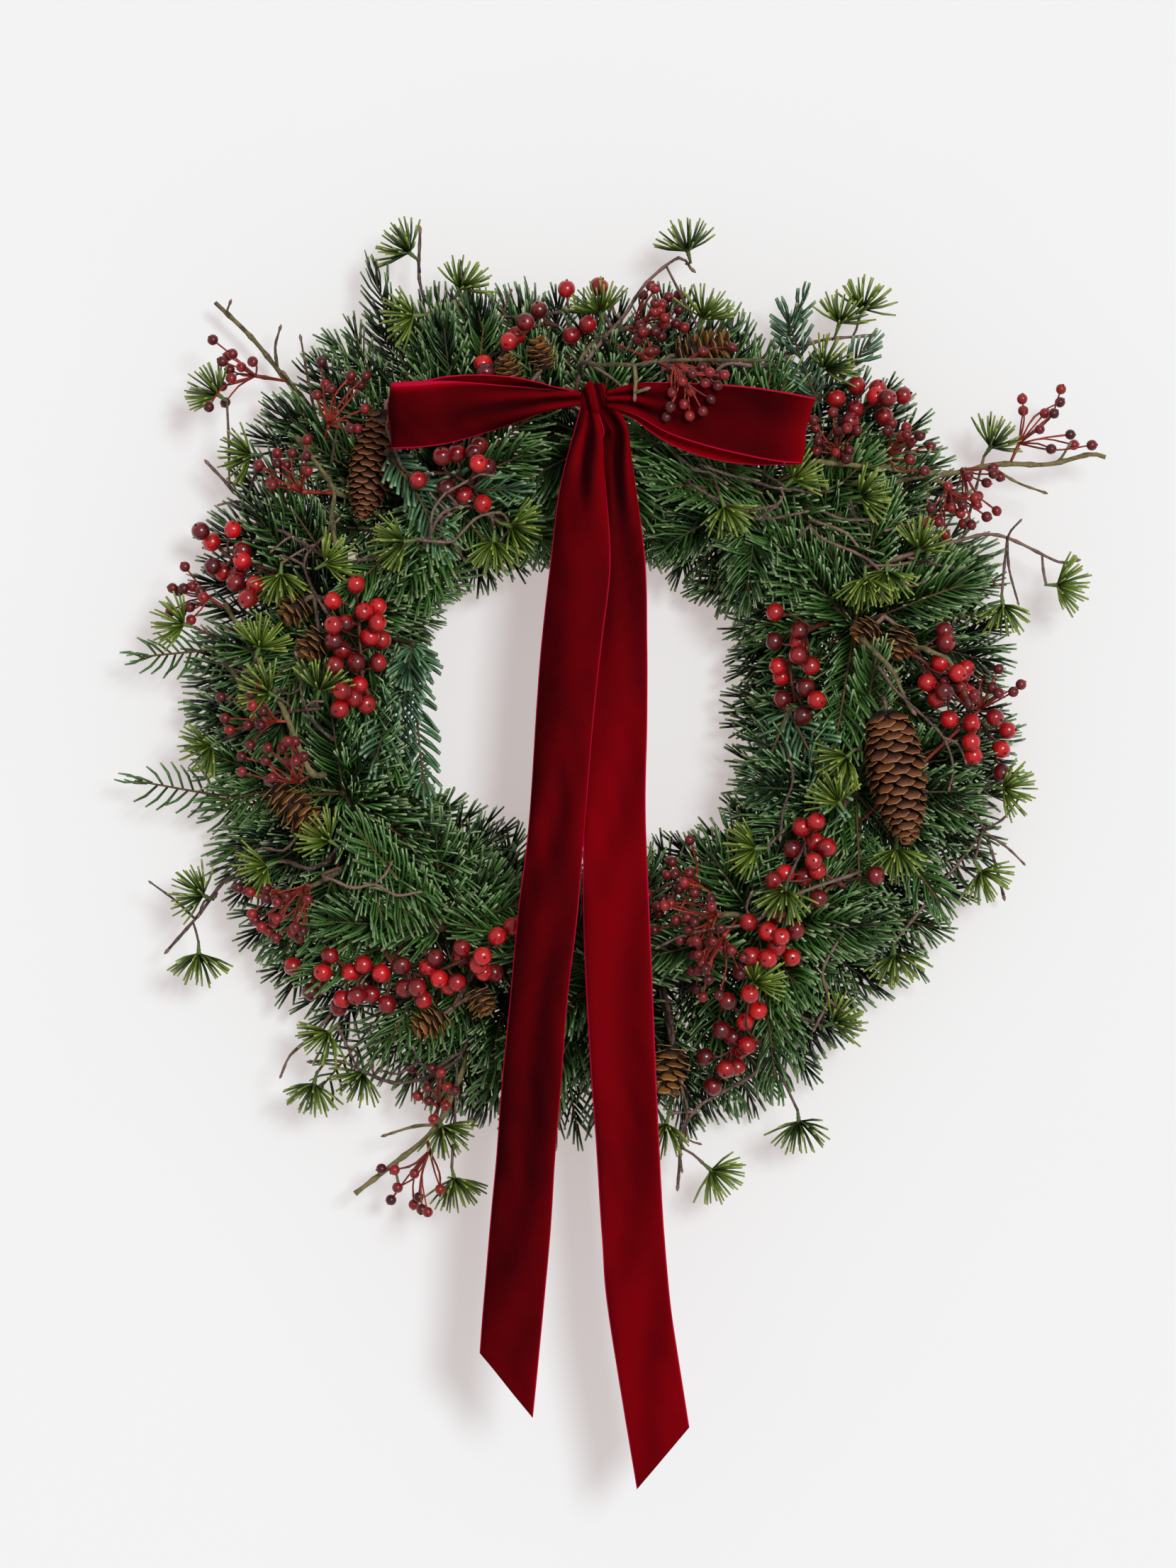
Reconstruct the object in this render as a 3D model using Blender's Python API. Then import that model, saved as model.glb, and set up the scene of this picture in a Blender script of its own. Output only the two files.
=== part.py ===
"""A berry wreath as it hangs on a wall: a ring of twisted vine that carries needle sprays,
larch-like tufts, berries and cones on stems of their own, with a ribbon bow tied at its top.

Metres, +Z up, the wall behind at +Y. The origin is where a nail bears, under the ring's inside top.
"""

import math
import random

import bmesh
import bpy
import numpy as np
from mathutils import Matrix, Quaternion, Vector
from mathutils.bvhtree import BVHTree

MM = 0.001
SEED = 11
TOUCH_GAP = 0.3 * MM
CLEARANCE = 0.25 * MM

RING_RADIUS = 165 * MM
RING_TUBE = 14 * MM
RING_STRANDS = 3
RING_TWISTS = 13
RING_RELIEF = 0.1
RING_STEPS = (32, 7)

RIBBON_WIDTH = 38 * MM
RIBBON_THICKNESS = 0.9 * MM
BOW_FORWARD = 88 * MM
LOOP_HALF_GAP = 7 * MM
KNOT_SIZE = (15 * MM, 13 * MM, 18 * MM)
KNOT_PIXEL = (838, 565)
TIE_RADIUS = 2.5 * MM
TAIL_COLUMNS = 4
LOOP_COLUMNS = 4
RIBBON_ROD = 2.5 * MM

FOLIAGE_EDGE_FORWARD = 18 * MM
FOLIAGE_CROWN_FORWARD = 62 * MM
FOLIAGE_SPREAD = 55 * MM

SPRUCE_NEEDLE = 18 * MM
FIR_NEEDLE = 19 * MM
TUFT_NEEDLE = 19 * MM
NEEDLE_HALF_WIDTH = 0.75 * MM
NEEDLE_BASE = 1.6 * MM
NEEDLE_LEAN = (42, 58)
NEEDLE_TRIES = 9
SPRAY_STEM = 2 * MM
WHORL_SPACING = 22.5 * MM
CORE_FOOT_RADIUS = 0.9 * MM
CORE_RADIUS = 1.15 * MM
CORE_TIP_RADIUS = 0.75 * MM

BIG_BERRY_RADIUS = 5.85 * MM
SMALL_BERRY_RADIUS = 3.4 * MM
BERRY_STEM = 0.9 * MM
HEAD_STEM = 0.7 * MM
HUB_RADIUS = 1.3 * MM
HEAD_BERRIES = 5
HEAD_LEAN = (10, 38)
SOCKET_LENGTH = 9 * MM
SOCKET_RADIUS = 1.7 * MM
SOCKET_LIP = 1.8 * MM
TUFT_LEANS = (55, 28)

CONE_SIDES = 5
CONE_WHORL = 9 * MM
CONE_STEM = 1.5 * MM

BUNCH_STEM = 1.4 * MM
DUSTY_STEM = 1.9 * MM
TUFT_STEM = 1.3 * MM
STEM_STEP = 28 * MM
STEM_TRIES = 900
STRAY_AFTER = 200
STRAY_REACH = 12 * MM

# The reference view looks straight at the wall. Places below are its pixels, and this maps them to metres.
PIXEL = 0.435 * MM
CENTRE_PIXEL = (846, 1001)
CENTRE = Vector((0, 0, RING_TUBE - RING_RADIUS))

# The tips of a spruce spray's branchlets: how far round from its hub, from the centre, and forward.
SPRUCE_SPRAYS = 10
SPRUCE_HUB = (166 * MM, 27 * MM)
SPRUCE_TIPS = [
    (0.24, 236 * MM, 6 * MM), (-0.2, 240 * MM, 34 * MM), (0.3, 104 * MM, 26 * MM), (-0.26, 100 * MM, 2 * MM),
]
SPRUCE_FORWARD_TIP = (0.5, 172 * MM, 58 * MM)
FIR_HUB_FORWARD = 44 * MM
FIR_SPRAYS = {
    "upper_left": ((545, 640), [(568, 775), (505, 690)]),
    "upper_right": ((1150, 560), [(1270, 520), (1110, 440)]),
    "inner_left": ((590, 900), [(640, 1075), (560, 1040)]),
    "inner_right": ((1110, 1000), [(1065, 1120), (1180, 1130)]),
}
REACHING_TIPS = [(527, 385), (190, 925), (186, 1100), (440, 1550)]

BERRY_BUNCHES = {
    "left_outer": (
        [(372, 800), (325, 786), (300, 765)],
        [(281, 748), (327, 746), (340, 775), (298, 798), (333, 812), (352, 843)],
    ),
    "left_inner": (
        [(520, 985), (512, 955), (508, 890), (504, 845)],
        [(504, 826), (471, 849), (534, 857), (489, 880), (523, 899), (473, 905),
         (534, 935), (504, 935), (500, 985)],
    ),
    "top": (
        [(800, 470), (760, 455), (700, 500)],
        [(799, 405), (760, 435), (729, 470), (681, 512)],
    ),
    "under_left_loop": (
        [(670, 690), (640, 672), (610, 668)],
        [(645, 641), (676, 629), (688, 660), (591, 679), (631, 690), (681, 712)],
    ),
    "right_of_loop": (
        [(1180, 600), (1215, 575), (1245, 565)],
        [(1210, 542), (1240, 546), (1276, 556), (1181, 561), (1200, 593), (1249, 585)],
    ),
    "right_inner": (
        [(1140, 890), (1115, 925), (1122, 990)],
        [(1093, 864), (1127, 890), (1092, 905), (1098, 940), (1143, 940), (1104, 986),
         (1132, 1010)],
    ),
    "right_outer": (
        [(1290, 925), (1330, 960), (1375, 1005), (1410, 1050)],
        [(1327, 935), (1307, 963), (1364, 943), (1340, 1015), (1405, 1012),
         (1374, 1066), (1416, 1090), (1333, 890)],
    ),
    "right_lower": (
        [(1190, 1250), (1140, 1215), (1135, 1185)],
        [(1130, 1167), (1117, 1197), (1165, 1195), (1107, 1232), (1152, 1228), (1154, 1267)],
    ),
    "lower_right": (
        [(1130, 1360), (1090, 1330), (1080, 1310)],
        [(1055, 1300), (1095, 1290), (1121, 1312), (1059, 1348), (1116, 1350)],
    ),
    "bottom_right": (
        [(1080, 1480), (1045, 1450), (1025, 1500)],
        [(1026, 1412), (1069, 1425), (1017, 1453), (1054, 1475), (995, 1492), (1006, 1534)],
    ),
    "bottom_left": (
        [(545, 1345), (590, 1375), (640, 1360), (700, 1330)],
        [(571, 1394), (567, 1362), (597, 1410), (615, 1351), (645, 1385), (683, 1370),
         (702, 1320)],
    ),
    "bottom_left_outer": (
        [(540, 1360), (500, 1375), (440, 1375)],
        [(411, 1364), (465, 1348), (437, 1400), (494, 1372), (482, 1410), (523, 1403)],
    ),
}

# A twig's own path, then each head of small berries as its hub and the middle of its berries.
DUSTY_TWIGS = {
    "upper_left": (
        [(470, 690), (455, 640), (440, 580), (395, 525), (350, 470), (299, 421)],
        [((359, 528), (305, 520)), ((463, 597), (490, 545)), ((425, 693), (395, 640))],
    ),
    "left": (
        [(440, 1090), (400, 1000), (345, 900), (315, 850)],
        [((293, 842), (255, 845)), ((390, 1017), (335, 1005)), ((423, 1104), (400, 1055))],
    ),
    "top": (
        [(820, 506), (855, 470), (894, 459)],
        [((894, 459), (940, 430)), ((950, 520), (985, 562))],
    ),
    "right": (
        [(1240, 658), (1331, 667), (1411, 653), (1481, 653), (1540, 639), (1563, 643)],
        [((1250, 640), (1293, 610)), ((1440, 624), (1485, 585)), ((1340, 690), (1358, 728))],
    ),
    "lower_left": (
        [(640, 1540), (610, 1598), (547, 1650), (499, 1687)],
        [((605, 1625), (582, 1688))],
    ),
    "lower_right": (
        [(1040, 1290), (990, 1290), (960, 1260)],
        [((985, 1245), (940, 1240)), ((1000, 1300), (985, 1345)), ((1385, 1000), (1392, 950))],
    ),
    "left_low": (
        [(460, 1240), (409, 1264)],
        [((409, 1264), (362, 1290))],
    ),
}

# A twig's own path, then each tuft as the foot of its socket and the middle of its needles.
TUFT_TWIGS = {
    "top_left": (
        [(857, 447), (750, 442), (695, 442), (615, 433), (591, 395), (591, 323)],
        [((590, 365), (561, 341)), ((640, 420), (655, 395)), ((600, 442), (567, 445)),
         ((852, 457), (842, 418))],
    ),
    "top": (
        [(820, 522), (881, 442), (912, 396), (958, 360), (975, 375)],
        [((975, 369), (964, 326)), ((985, 465), (998, 436))],
    ),
    "top_right": (
        [(1020, 514), (1085, 514), (1150, 480), (1230, 470)],
        [((1212, 451), (1226, 415)), ((1150, 530), (1168, 513)), ((1105, 690), (1127, 669)),
         ((1015, 700), (1028, 737))],
    ),
    "right": (
        [(1260, 790), (1348, 763), (1411, 753), (1497, 791), (1519, 789)],
        [((1476, 824), (1508, 825)), ((1415, 835), (1417, 866)), ((1219, 799), (1219, 842)),
         ((1390, 643), (1415, 608)), ((1290, 790), (1301, 765)), ((1196, 705), (1220, 700))],
    ),
    "right_low": (
        [(1240, 1050), (1330, 1090), (1390, 1150), (1434, 1255)],
        [((1205, 1056), (1186, 1075)), ((1375, 1215), (1391, 1239)),
         ((1190, 1145), (1177, 1124)), ((1265, 1180), (1265, 1216)), ((1083, 1196), (1040, 1198))],
    ),
    "bottom_right": (
        [(1110, 1440), (1060, 1520), (990, 1560), (965, 1600), (957, 1674)],
        [((1126, 1566), (1129, 1594)), ((990, 1641), (1019, 1666)), ((945, 1570), (936, 1601)),
         ((1160, 1450), (1190, 1437)), ((1050, 1395), (1069, 1380))],
    ),
    "bottom_left": (
        [(640, 1500), (560, 1530), (480, 1500), (440, 1500)],
        [((446, 1513), (437, 1549)), ((475, 1445), (457, 1463)), ((615, 1575), (630, 1604)),
         ((636, 1647), (642, 1672))],
    ),
    "left_low": (
        [(440, 1225), (393, 1215), (320, 1240), (279, 1290), (235, 1340)],
        [((393, 1215), (356, 1230)), ((278, 1328), (279, 1374)), ((480, 1195), (457, 1178)),
         ((573, 1313), (530, 1285))],
    ),
    "left": (
        [(448, 1000), (370, 1000), (340, 940), (290, 890)],
        [((448, 992), (460, 946)), ((275, 885), (243, 876)), ((313, 1044), (282, 1060)),
         ((395, 985), (375, 975))],
    ),
    "upper_left": (
        [(520, 790), (470, 790), (400, 750), (368, 740), (338, 702), (292, 653)],
        [((445, 804), (478, 787)), ((397, 793), (396, 821)), ((370, 640), (334, 641)),
         ((589, 763), (549, 769)), ((320, 565), (292, 545))],
    ),
    "upper_inner": (
        [(600, 770), (625, 725), (670, 715), (704, 738)],
        [((698, 747), (695, 790)), ((704, 738), (744, 750))],
    ),
}

# The foot and the tip of each cone, and its width, all in pixels.
CONE_PICKS = {
    "big_right": [((1249, 1002), (1282, 1201), 73)],
    "upper_left": [((543, 577), (506, 739), 60)],
    "top_right": [((955, 500), (1035, 480), 55)],
    "top": [((725, 545), (712, 500), 38), ((770, 520), (757, 475), 38)],
    "left": [((430, 850), (400, 872), 46), ((455, 895), (430, 925), 46)],
    "lower_left": [((385, 1110), (450, 1175), 55)],
    "right": [((1235, 880), (1210, 905), 44), ((1275, 885), (1262, 930), 44)],
    "bottom_left": [((625, 1430), (585, 1455), 48), ((670, 1395), (688, 1430), 40)],
    "bottom_right": [((948, 1475), (940, 1545), 55)],
}

# Each row of ribbon: its height, its left and its right edge in pixels, and how far forward it hangs.
# The tails' first rows lie just under the knot, side by side, and are worked out from it.
TAIL_TOPS = {"left": (824, 838), "right": (841, 854)}
LEFT_TAIL_ROWS = [
    (610, 815, 846, 90 * MM), (632, 806, 850, 90 * MM), (700, 789, 856, 91 * MM),
    (802, 776, 861, 91 * MM), (910, 764, 849, 91 * MM), (1001, 757, 839, 90 * MM),
    (1160, 747, 825, 90 * MM), (1280, 732, 816, 90 * MM), (1402, 721, 801, 90 * MM),
    (1525, 709, 792, 89 * MM), (1632, 701, 783, 88 * MM), (1760, 689, 775, 87 * MM),
]
LEFT_TAIL_END = ((1902, 678, 86 * MM), (1993, 752, 86 * MM))
RIGHT_TAIL_ROWS = [
    (610, 850, 880, 84 * MM), (632, 846, 888, 81 * MM), (700, 838, 898, 82 * MM),
    (802, 828, 910, 84 * MM), (910, 826, 912, 85 * MM), (1017, 824, 912, 85 * MM),
    (1160, 823, 910, 84 * MM), (1323, 824, 917, 84 * MM), (1501, 833, 924, 84 * MM),
    (1609, 841, 929, 83 * MM), (1740, 849, 936, 82 * MM), (1858, 860, 948, 84 * MM),
]
RIGHT_TAIL_END = ((2094, 898, 82 * MM), (2007, 971, 84 * MM))

# Each row of a loop from the knot outwards: its place along the wreath, then its top and bottom edge.
# A loop's first row lies against the knot's side, and is worked out from it.
LOOP_ROOT = (556, 577)
LEFT_LOOP_ROWS = [
    (780, 554, 584), (735, 550, 600), (685, 546, 616), (635, 543, 630), (590, 543, 636),
]
LEFT_LOOP_END = (556, 545, 637)
RIGHT_LOOP_ROWS = [
    (893, 546, 588), (943, 545, 616), (1000, 547, 635), (1060, 552, 648), (1110, 560, 656),
]
RIGHT_LOOP_END = (1140, 566, 658)
LOOP_REAR_LIFT = {"left": 14, "right": -8}


def place(pixel, forward):
    """The point at a pixel of the reference view, this far forward of the ring's own plane."""
    across = (pixel[0] - CENTRE_PIXEL[0]) * PIXEL
    up = (CENTRE_PIXEL[1] - pixel[1]) * PIXEL
    return CENTRE + Vector((across, -forward, up))


def foliage_forward(pixel):
    """How far forward the foliage swells at a pixel: most over the ring, less at both its edges."""
    distance = math.dist(pixel, CENTRE_PIXEL) * PIXEL
    swell = math.exp(-(((distance - RING_RADIUS) / FOLIAGE_SPREAD) ** 2))
    return FOLIAGE_EDGE_FORWARD + (FOLIAGE_CROWN_FORWARD - FOLIAGE_EDGE_FORWARD) * swell


def rod_distances(start, end, starts, ends):
    """The distance from one segment to each of many, by their closest points."""
    along = end - start
    others = ends - starts
    apart = start - starts
    length = along @ along + 1e-12
    lengths = np.einsum("ij,ij->i", others, others) + 1e-12
    across = others @ along
    offset = apart @ along
    offsets = np.einsum("ij,ij->i", others, apart)
    spread = length * lengths - across * across
    s = np.clip((across * offsets - offset * lengths) / np.maximum(spread, 1e-14), 0, 1)
    t = np.clip((across * s + offsets) / lengths, 0, 1)
    s = np.clip((across * t - offset) / length, 0, 1)
    gaps = (start + s[:, None] * along) - (starts + t[:, None] * others)
    return np.sqrt(np.einsum("ij,ij->i", gaps, gaps))


class Room:
    """The space already taken, as rounded rods, each with the number of the piece that owns it."""

    def __init__(self):
        self.starts = np.zeros((0, 3))
        self.ends = np.zeros((0, 3))
        self.radii = np.zeros(0)
        self.owners = np.zeros(0, int)

    def take(self, owner, rods):
        if not rods:
            return
        self.starts = np.vstack([self.starts, [tuple(rod[0]) for rod in rods]])
        self.ends = np.vstack([self.ends, [tuple(rod[1]) for rod in rods]])
        self.radii = np.append(self.radii, [rod[2] for rod in rods])
        self.owners = np.append(self.owners, [owner] * len(rods))

    def free(self, chosen, start, end):
        """The room between a line and the nearest of the chosen rods."""
        if not chosen.any():
            return 1.0
        near = rod_distances(np.array(start), np.array(end), self.starts[chosen], self.ends[chosen])
        return float((near - self.radii[chosen]).min())

    def clear(self, owner, rods):
        """Whether rods miss every other piece, and the ring's tube as well."""
        others = self.owners != owner
        for start, end, radius in rods:
            if self.free(others, start, end) < radius + CLEARANCE:
                return False
            if ring_gap(start, end) < radius + CLEARANCE:
                return False
        return True


def ring_gap(start, end):
    """The room between a line and the ring's tube."""
    steps = np.linspace(0, 1, 7)[:, None]
    points = np.array(start) * (1 - steps) + np.array(end) * steps - np.array(CENTRE)
    from_axis = np.hypot(points[:, 0], points[:, 2]) - RING_RADIUS
    tube = RING_TUBE * (1 + RING_RELIEF)
    return float(np.hypot(from_axis, points[:, 1]).min() - tube)


def smooth(points, step):
    """Points about a step apart on a smooth curve through the given ones."""
    ends = [points[0] * 2 - points[1]] + list(points) + [points[-1] * 2 - points[-2]]
    curve = [points[0]]
    for a, b, c, d in zip(ends, ends[1:], ends[2:], ends[3:]):
        count = max(1, round((c - b).length / step))
        for k in range(1, count + 1):
            t = k / count
            curve.append(
                0.5 * (2 * b + (c - a) * t + (2 * a - 5 * b + 4 * c - d) * t * t
                       + (3 * b - a - 3 * c + d) * t ** 3)
            )
    return curve


def rods_of(points, radius):
    return [(a, b, radius) for a, b in zip(points, points[1:])]


def finish(name, colour, roughness):
    material = bpy.data.materials.new(name)
    material.use_nodes = True
    shader = material.node_tree.nodes["Principled BSDF"]
    shader.inputs["Base Color"].default_value = (*colour, 1)
    shader.inputs["Roughness"].default_value = roughness
    material.diffuse_color = (*colour, 1)
    return material


def extend(bm, face, centre, direction, radius, twist=0.0):
    """Extrudes a face to a new centre, turned to a direction and brought to a radius."""
    face.normal_update()
    middle = face.calc_center_median()
    turn = face.normal.rotation_difference(direction)
    turn = Quaternion(direction, twist) @ turn
    now = sum((vert.co - middle).length for vert in face.verts) / len(face.verts)
    grown = bmesh.ops.extrude_discrete_faces(bm, faces=[face])["faces"][0]
    for vert in grown.verts:
        vert.co = centre + turn @ (vert.co - middle) * (radius / now)
    grown.normal_update()
    return grown


def first_section(bm, start, end, radii, sides):
    """A closed prism between two points, and the face at its far end."""
    axis = (end - start).normalized()
    turned = Vector((0, 0, 1)).rotation_difference(axis).to_matrix().to_4x4()
    bmesh.ops.create_cone(
        bm, cap_ends=True, segments=sides, radius1=radii[0], radius2=radii[1],
        depth=(end - start).length, matrix=Matrix.Translation((start + end) / 2) @ turned,
    )
    bm.normal_update()
    return max(bm.faces, key=lambda face: face.normal @ axis)


def stem(points, radii, sides):
    """A closed stem along the points, grown section by section, as a bmesh."""
    bm = bmesh.new()
    face = first_section(bm, points[0], points[1], radii, sides)
    for index in range(2, len(points)):
        before = (points[index] - points[index - 1]).normalized()
        after = (points[min(index + 1, len(points) - 1)] - points[index - 1]).normalized()
        face = extend(bm, face, points[index], (before + after).normalized(), radii[index])
    return bm


def even_stem(points, first, last, sides):
    count = len(points) - 1
    return stem(points, [first + (last - first) * k / count for k in range(count + 1)], sides)


def ball(centre, radius, fine):
    """A berry's faceted ball, with one face square to the given way down to its stem."""
    bm = bmesh.new()
    if fine:
        bmesh.ops.create_icosphere(bm, subdivisions=1, radius=radius)
    else:
        bmesh.ops.create_uvsphere(bm, u_segments=4, v_segments=2, radius=radius * 1.1)
    bmesh.ops.translate(bm, vec=centre, verts=bm.verts)
    return bm


def berry(foot, centre, radius, stem_radius, fine):
    """A berry whose lowest face is drawn out into its stem, down to the foot."""
    down = (foot - centre).normalized()
    bm = ball(Vector(), radius, fine)
    bm.faces.ensure_lookup_table()
    bm.normal_update()
    low = bm.faces[0]
    bmesh.ops.rotate(bm, verts=bm.verts, matrix=low.normal.rotation_difference(down).to_matrix())
    bmesh.ops.translate(bm, vec=centre, verts=bm.verts)
    neck = extend(bm, low, centre + down * radius * 1.12, down, stem_radius)
    extend(bm, neck, foot, down, stem_radius * 0.65)
    return bm


def raise_needle(bm, face, tip):
    point = bmesh.ops.poke(bm, faces=[face])["verts"][0]
    point.co = tip


def grow_needle(bm, face, room, owner, heading, length, rng):
    """Raises a needle from a face where there is room for it, bent or shortened to pass its neighbours."""
    root = face.calc_center_median()
    side = heading.orthogonal().normalized()
    for attempt in range(NEEDLE_TRIES):
        bend = Quaternion(heading, rng.uniform(0, math.tau)) @ side
        way = (heading + bend * (0.12 + 0.07 * attempt)).normalized()
        reach = length * (rng.uniform(0.9, 1.0) if attempt < 6 else 0.7)
        tip = root + way * reach
        others = room.owners != owner
        if room.free(others, root + way * NEEDLE_HALF_WIDTH, tip) < NEEDLE_HALF_WIDTH + CLEARANCE:
            continue
        if ring_gap(root + way * reach * 0.3, tip) < NEEDLE_HALF_WIDTH + CLEARANCE:
            continue
        outer = root + way * reach * 0.4
        if room.free(~others, outer, tip) < NEEDLE_HALF_WIDTH + CLEARANCE:
            continue
        raise_needle(bm, face, tip)
        room.take(owner, [(root, tip, NEEDLE_HALF_WIDTH)])
        return


def side_faces(face):
    return [near for edge in face.edges for near in edge.link_faces if near is not face]


def branchlet(curve, rows, length, room, owner, rng, flat):
    """A slim core along a curve, with whorls of needles raised from it out to its tip."""
    bm = bmesh.new()
    total = sum((b - a).length for a, b in zip(curve, curve[1:]))

    def along(distance):
        distance = max(0.0, min(total - 1e-6, distance))
        for a, b in zip(curve, curve[1:]):
            if distance <= (b - a).length:
                return a + (b - a) * (distance / (b - a).length), (b - a).normalized()
            distance -= (b - a).length
        return curve[-1], (curve[-1] - curve[-2]).normalized()

    spacing = (total - NEEDLE_BASE) / rows
    sides = 4 if flat else 3
    point, _ = along(spacing * 0.6)
    face = first_section(bm, curve[0], point, (CORE_FOOT_RADIUS, CORE_RADIUS), sides)
    for row in range(rows):
        radius = CORE_RADIUS + (CORE_TIP_RADIUS - CORE_RADIUS) * row / rows
        reached = spacing * (row + 0.6) + NEEDLE_BASE
        if row == rows - 1:
            reached = total
        if row:
            point, heading = along(reached - NEEDLE_BASE)
            face = extend(bm, face, point, heading, radius)
        point, heading = along(reached)
        face = extend(bm, face, point, heading, radius)
        for near in side_faces(face):
            near.normal_update()
            out = near.normal.copy()
            if flat and abs(out.y) > 0.75:
                continue
            lean = math.radians(rng.uniform(*NEEDLE_LEAN))
            way = (out * math.sin(lean) + heading * math.cos(lean)).normalized()
            grow_needle(bm, near, room, owner, way, length, rng)
    grow_needle(bm, face, room, owner, face.normal.copy(), length * 0.9, rng)
    return bm


def tuft(start, foot, middle, room, owner, rng):
    """A side twig that ends in a socket, whose mouth opens into a fan of thin needles."""
    axis = (middle - foot).normalized()
    bm = bmesh.new()
    mouth = foot + axis * SOCKET_LENGTH
    lip = mouth - axis * SOCKET_LIP
    if (foot - start).length > 2 * MM:
        face = first_section(bm, start, foot, (TUFT_STEM * 0.5, TUFT_STEM * 0.85), 4)
        face = extend(bm, face, lip, axis, SOCKET_RADIUS)
    else:
        face = first_section(bm, start, lip, (TUFT_STEM, SOCKET_RADIUS), 4)
    face = extend(bm, face, mouth, axis, SOCKET_RADIUS * 0.9)
    outer = side_faces(face)
    inner = bmesh.ops.inset_individual(bm, faces=[face], thickness=SOCKET_RADIUS * 0.47)["faces"]
    wide, narrow = TUFT_LEANS
    for near, lean in [(near, wide) for near in outer] + [(near, narrow) for near in inner]:
        away = near.calc_center_median() - mouth
        away = (away - axis * (away @ axis)).normalized()
        way = away * math.sin(math.radians(lean)) + axis * math.cos(math.radians(lean))
        grow_needle(bm, near, room, owner, way, TUFT_NEEDLE, rng)
    grow_needle(bm, face, room, owner, axis, TUFT_NEEDLE, rng)
    return bm


def cone_solid(foot, tip, radius):
    """A cone of scales: each whorl widens to its scales' edge, steps in and turns half a scale on."""
    axis = (tip - foot).normalized()
    length = (tip - foot).length
    whorls = max(3, min(7, round(length / CONE_WHORL)))
    bm = bmesh.new()
    neck = foot + axis * length * 0.04
    face = first_section(bm, foot, neck, (radius * 0.3, radius * 0.55), CONE_SIDES)
    for whorl in range(whorls):
        share = (whorl + 0.7) / whorls
        girth = radius * (1 - 0.62 * max(0.0, share - 0.35) ** 1.4 / 0.55)
        edge = foot + axis * length * (0.04 + 0.93 * (whorl + 0.92) / whorls)
        face = extend(bm, face, edge, axis, girth, math.pi / CONE_SIDES)
        step = edge + axis * length * 0.05 / whorls
        face = extend(bm, face, step, axis, girth * 0.68)
    extend(bm, face, tip, axis, radius * 0.16)
    return bm


class Piece:
    """One node of the wreath: its solids, its rods in the room, and its finish."""

    count = 0

    def __init__(self, name, material):
        Piece.count += 1
        self.name = name
        self.owner = Piece.count
        self.material = material
        self.solids = []


def seat(target, turn, roll, radius):
    """Where a stem leaves the ring: a point whose round end just clears the ring's face, and the way out."""
    flat = target - CENTRE
    angle = math.atan2(flat.z, flat.x) + turn
    core = CENTRE + Vector((math.cos(angle), 0, math.sin(angle))) * RING_RADIUS
    tangent = Vector((-math.sin(angle), 0, math.cos(angle)))
    toward = target - core
    toward = (toward - tangent * (toward @ tangent)).normalized()
    toward = Quaternion(tangent, roll) @ toward
    hit, way, _, _ = ring_surface.ray_cast(core + toward * RING_TUBE * 3, -toward)
    raised = 0.0
    for k in range(8):
        rim = Quaternion(way, math.tau * k / 8) @ way.orthogonal().normalized() * radius
        _, _, _, depth = ring_surface.ray_cast(hit + rim + way * RING_TUBE, -way)
        if depth is not None:
            raised = max(raised, RING_TUBE - depth)
    return hit + way * (TOUCH_GAP + raised), way


def find_stem(piece, points, radius, room, rng):
    """A clear way from a seat on the ring along the given points, which may all move back or forward."""
    for attempt in range(STEM_TRIES):
        widen = min(1.0, attempt / 60)
        stray = max(0.0, attempt - STRAY_AFTER) / (STEM_TRIES - STRAY_AFTER) * STRAY_REACH
        shift = Vector((0, rng.uniform(-16, 18) * MM * widen, 0))
        moved = [
            point + shift + Vector([rng.uniform(-1, 1) * stray for _ in range(3)]) for point in points
        ]
        start, way = seat(moved[0], rng.uniform(-0.2, 0.2) * widen, rng.uniform(-1.3, 1.3) * widen, radius)
        leave = start + way * 5 * MM
        reach = moved[0] - leave
        if reach.length < 6 * MM or (way @ reach.normalized()) < -0.3:
            continue
        path = smooth([start, leave] + moved, STEM_STEP)
        rods = rods_of(path, radius)
        first_free = room.free(room.owners != piece.owner, path[0], path[1])
        if first_free > radius + CLEARANCE and room.clear(piece.owner, rods[1:]):
            room.take(piece.owner, rods)
            return path
    raise RuntimeError(f"{piece.name} found no way from the ring")


def join_point(path, point):
    """The place on a stem that a side twig leaves from, a little before the point's nearest place."""
    best = None
    reached = 0.0
    for a, b in zip(path, path[1:]):
        length = (b - a).length
        share = max(0.0, min(1.0, (point - a) @ (b - a) / length ** 2))
        apart = (a + (b - a) * share - point).length
        if best is None or apart < best[0]:
            best = (apart, reached + share * length)
        reached += length
    apart, place_along = best
    wanted = max(9 * MM, min(reached - 1 * MM, place_along - 0.45 * apart))
    for a, b in zip(path, path[1:]):
        length = (b - a).length
        if wanted <= length:
            share = max(0.15, min(0.85, wanted / length))
            return a + (b - a) * share
        wanted -= length
    return path[-1]


def depth_shifts():
    yield 0.0
    for step in range(1, 9):
        yield step * 3 * MM
        yield -step * 3 * MM


def add_berries(piece, path, pixels, room, rng):
    for pixel in pixels:
        forward = foliage_forward(pixel) + rng.uniform(2, 10) * MM
        for shift in depth_shifts():
            centre = place(pixel, forward + shift)
            foot = join_point(path, centre)
            rods = [(centre, centre, BIG_BERRY_RADIUS), (foot, centre, BERRY_STEM * 1.1)]
            own = room.owners == piece.owner
            crowded = room.free(own, centre, centre) < BIG_BERRY_RADIUS * 0.8
            if crowded or not room.clear(piece.owner, rods):
                continue
            room.take(piece.owner, rods)
            piece.solids.append(berry(foot, centre, BIG_BERRY_RADIUS, BERRY_STEM, True))
            break


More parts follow.
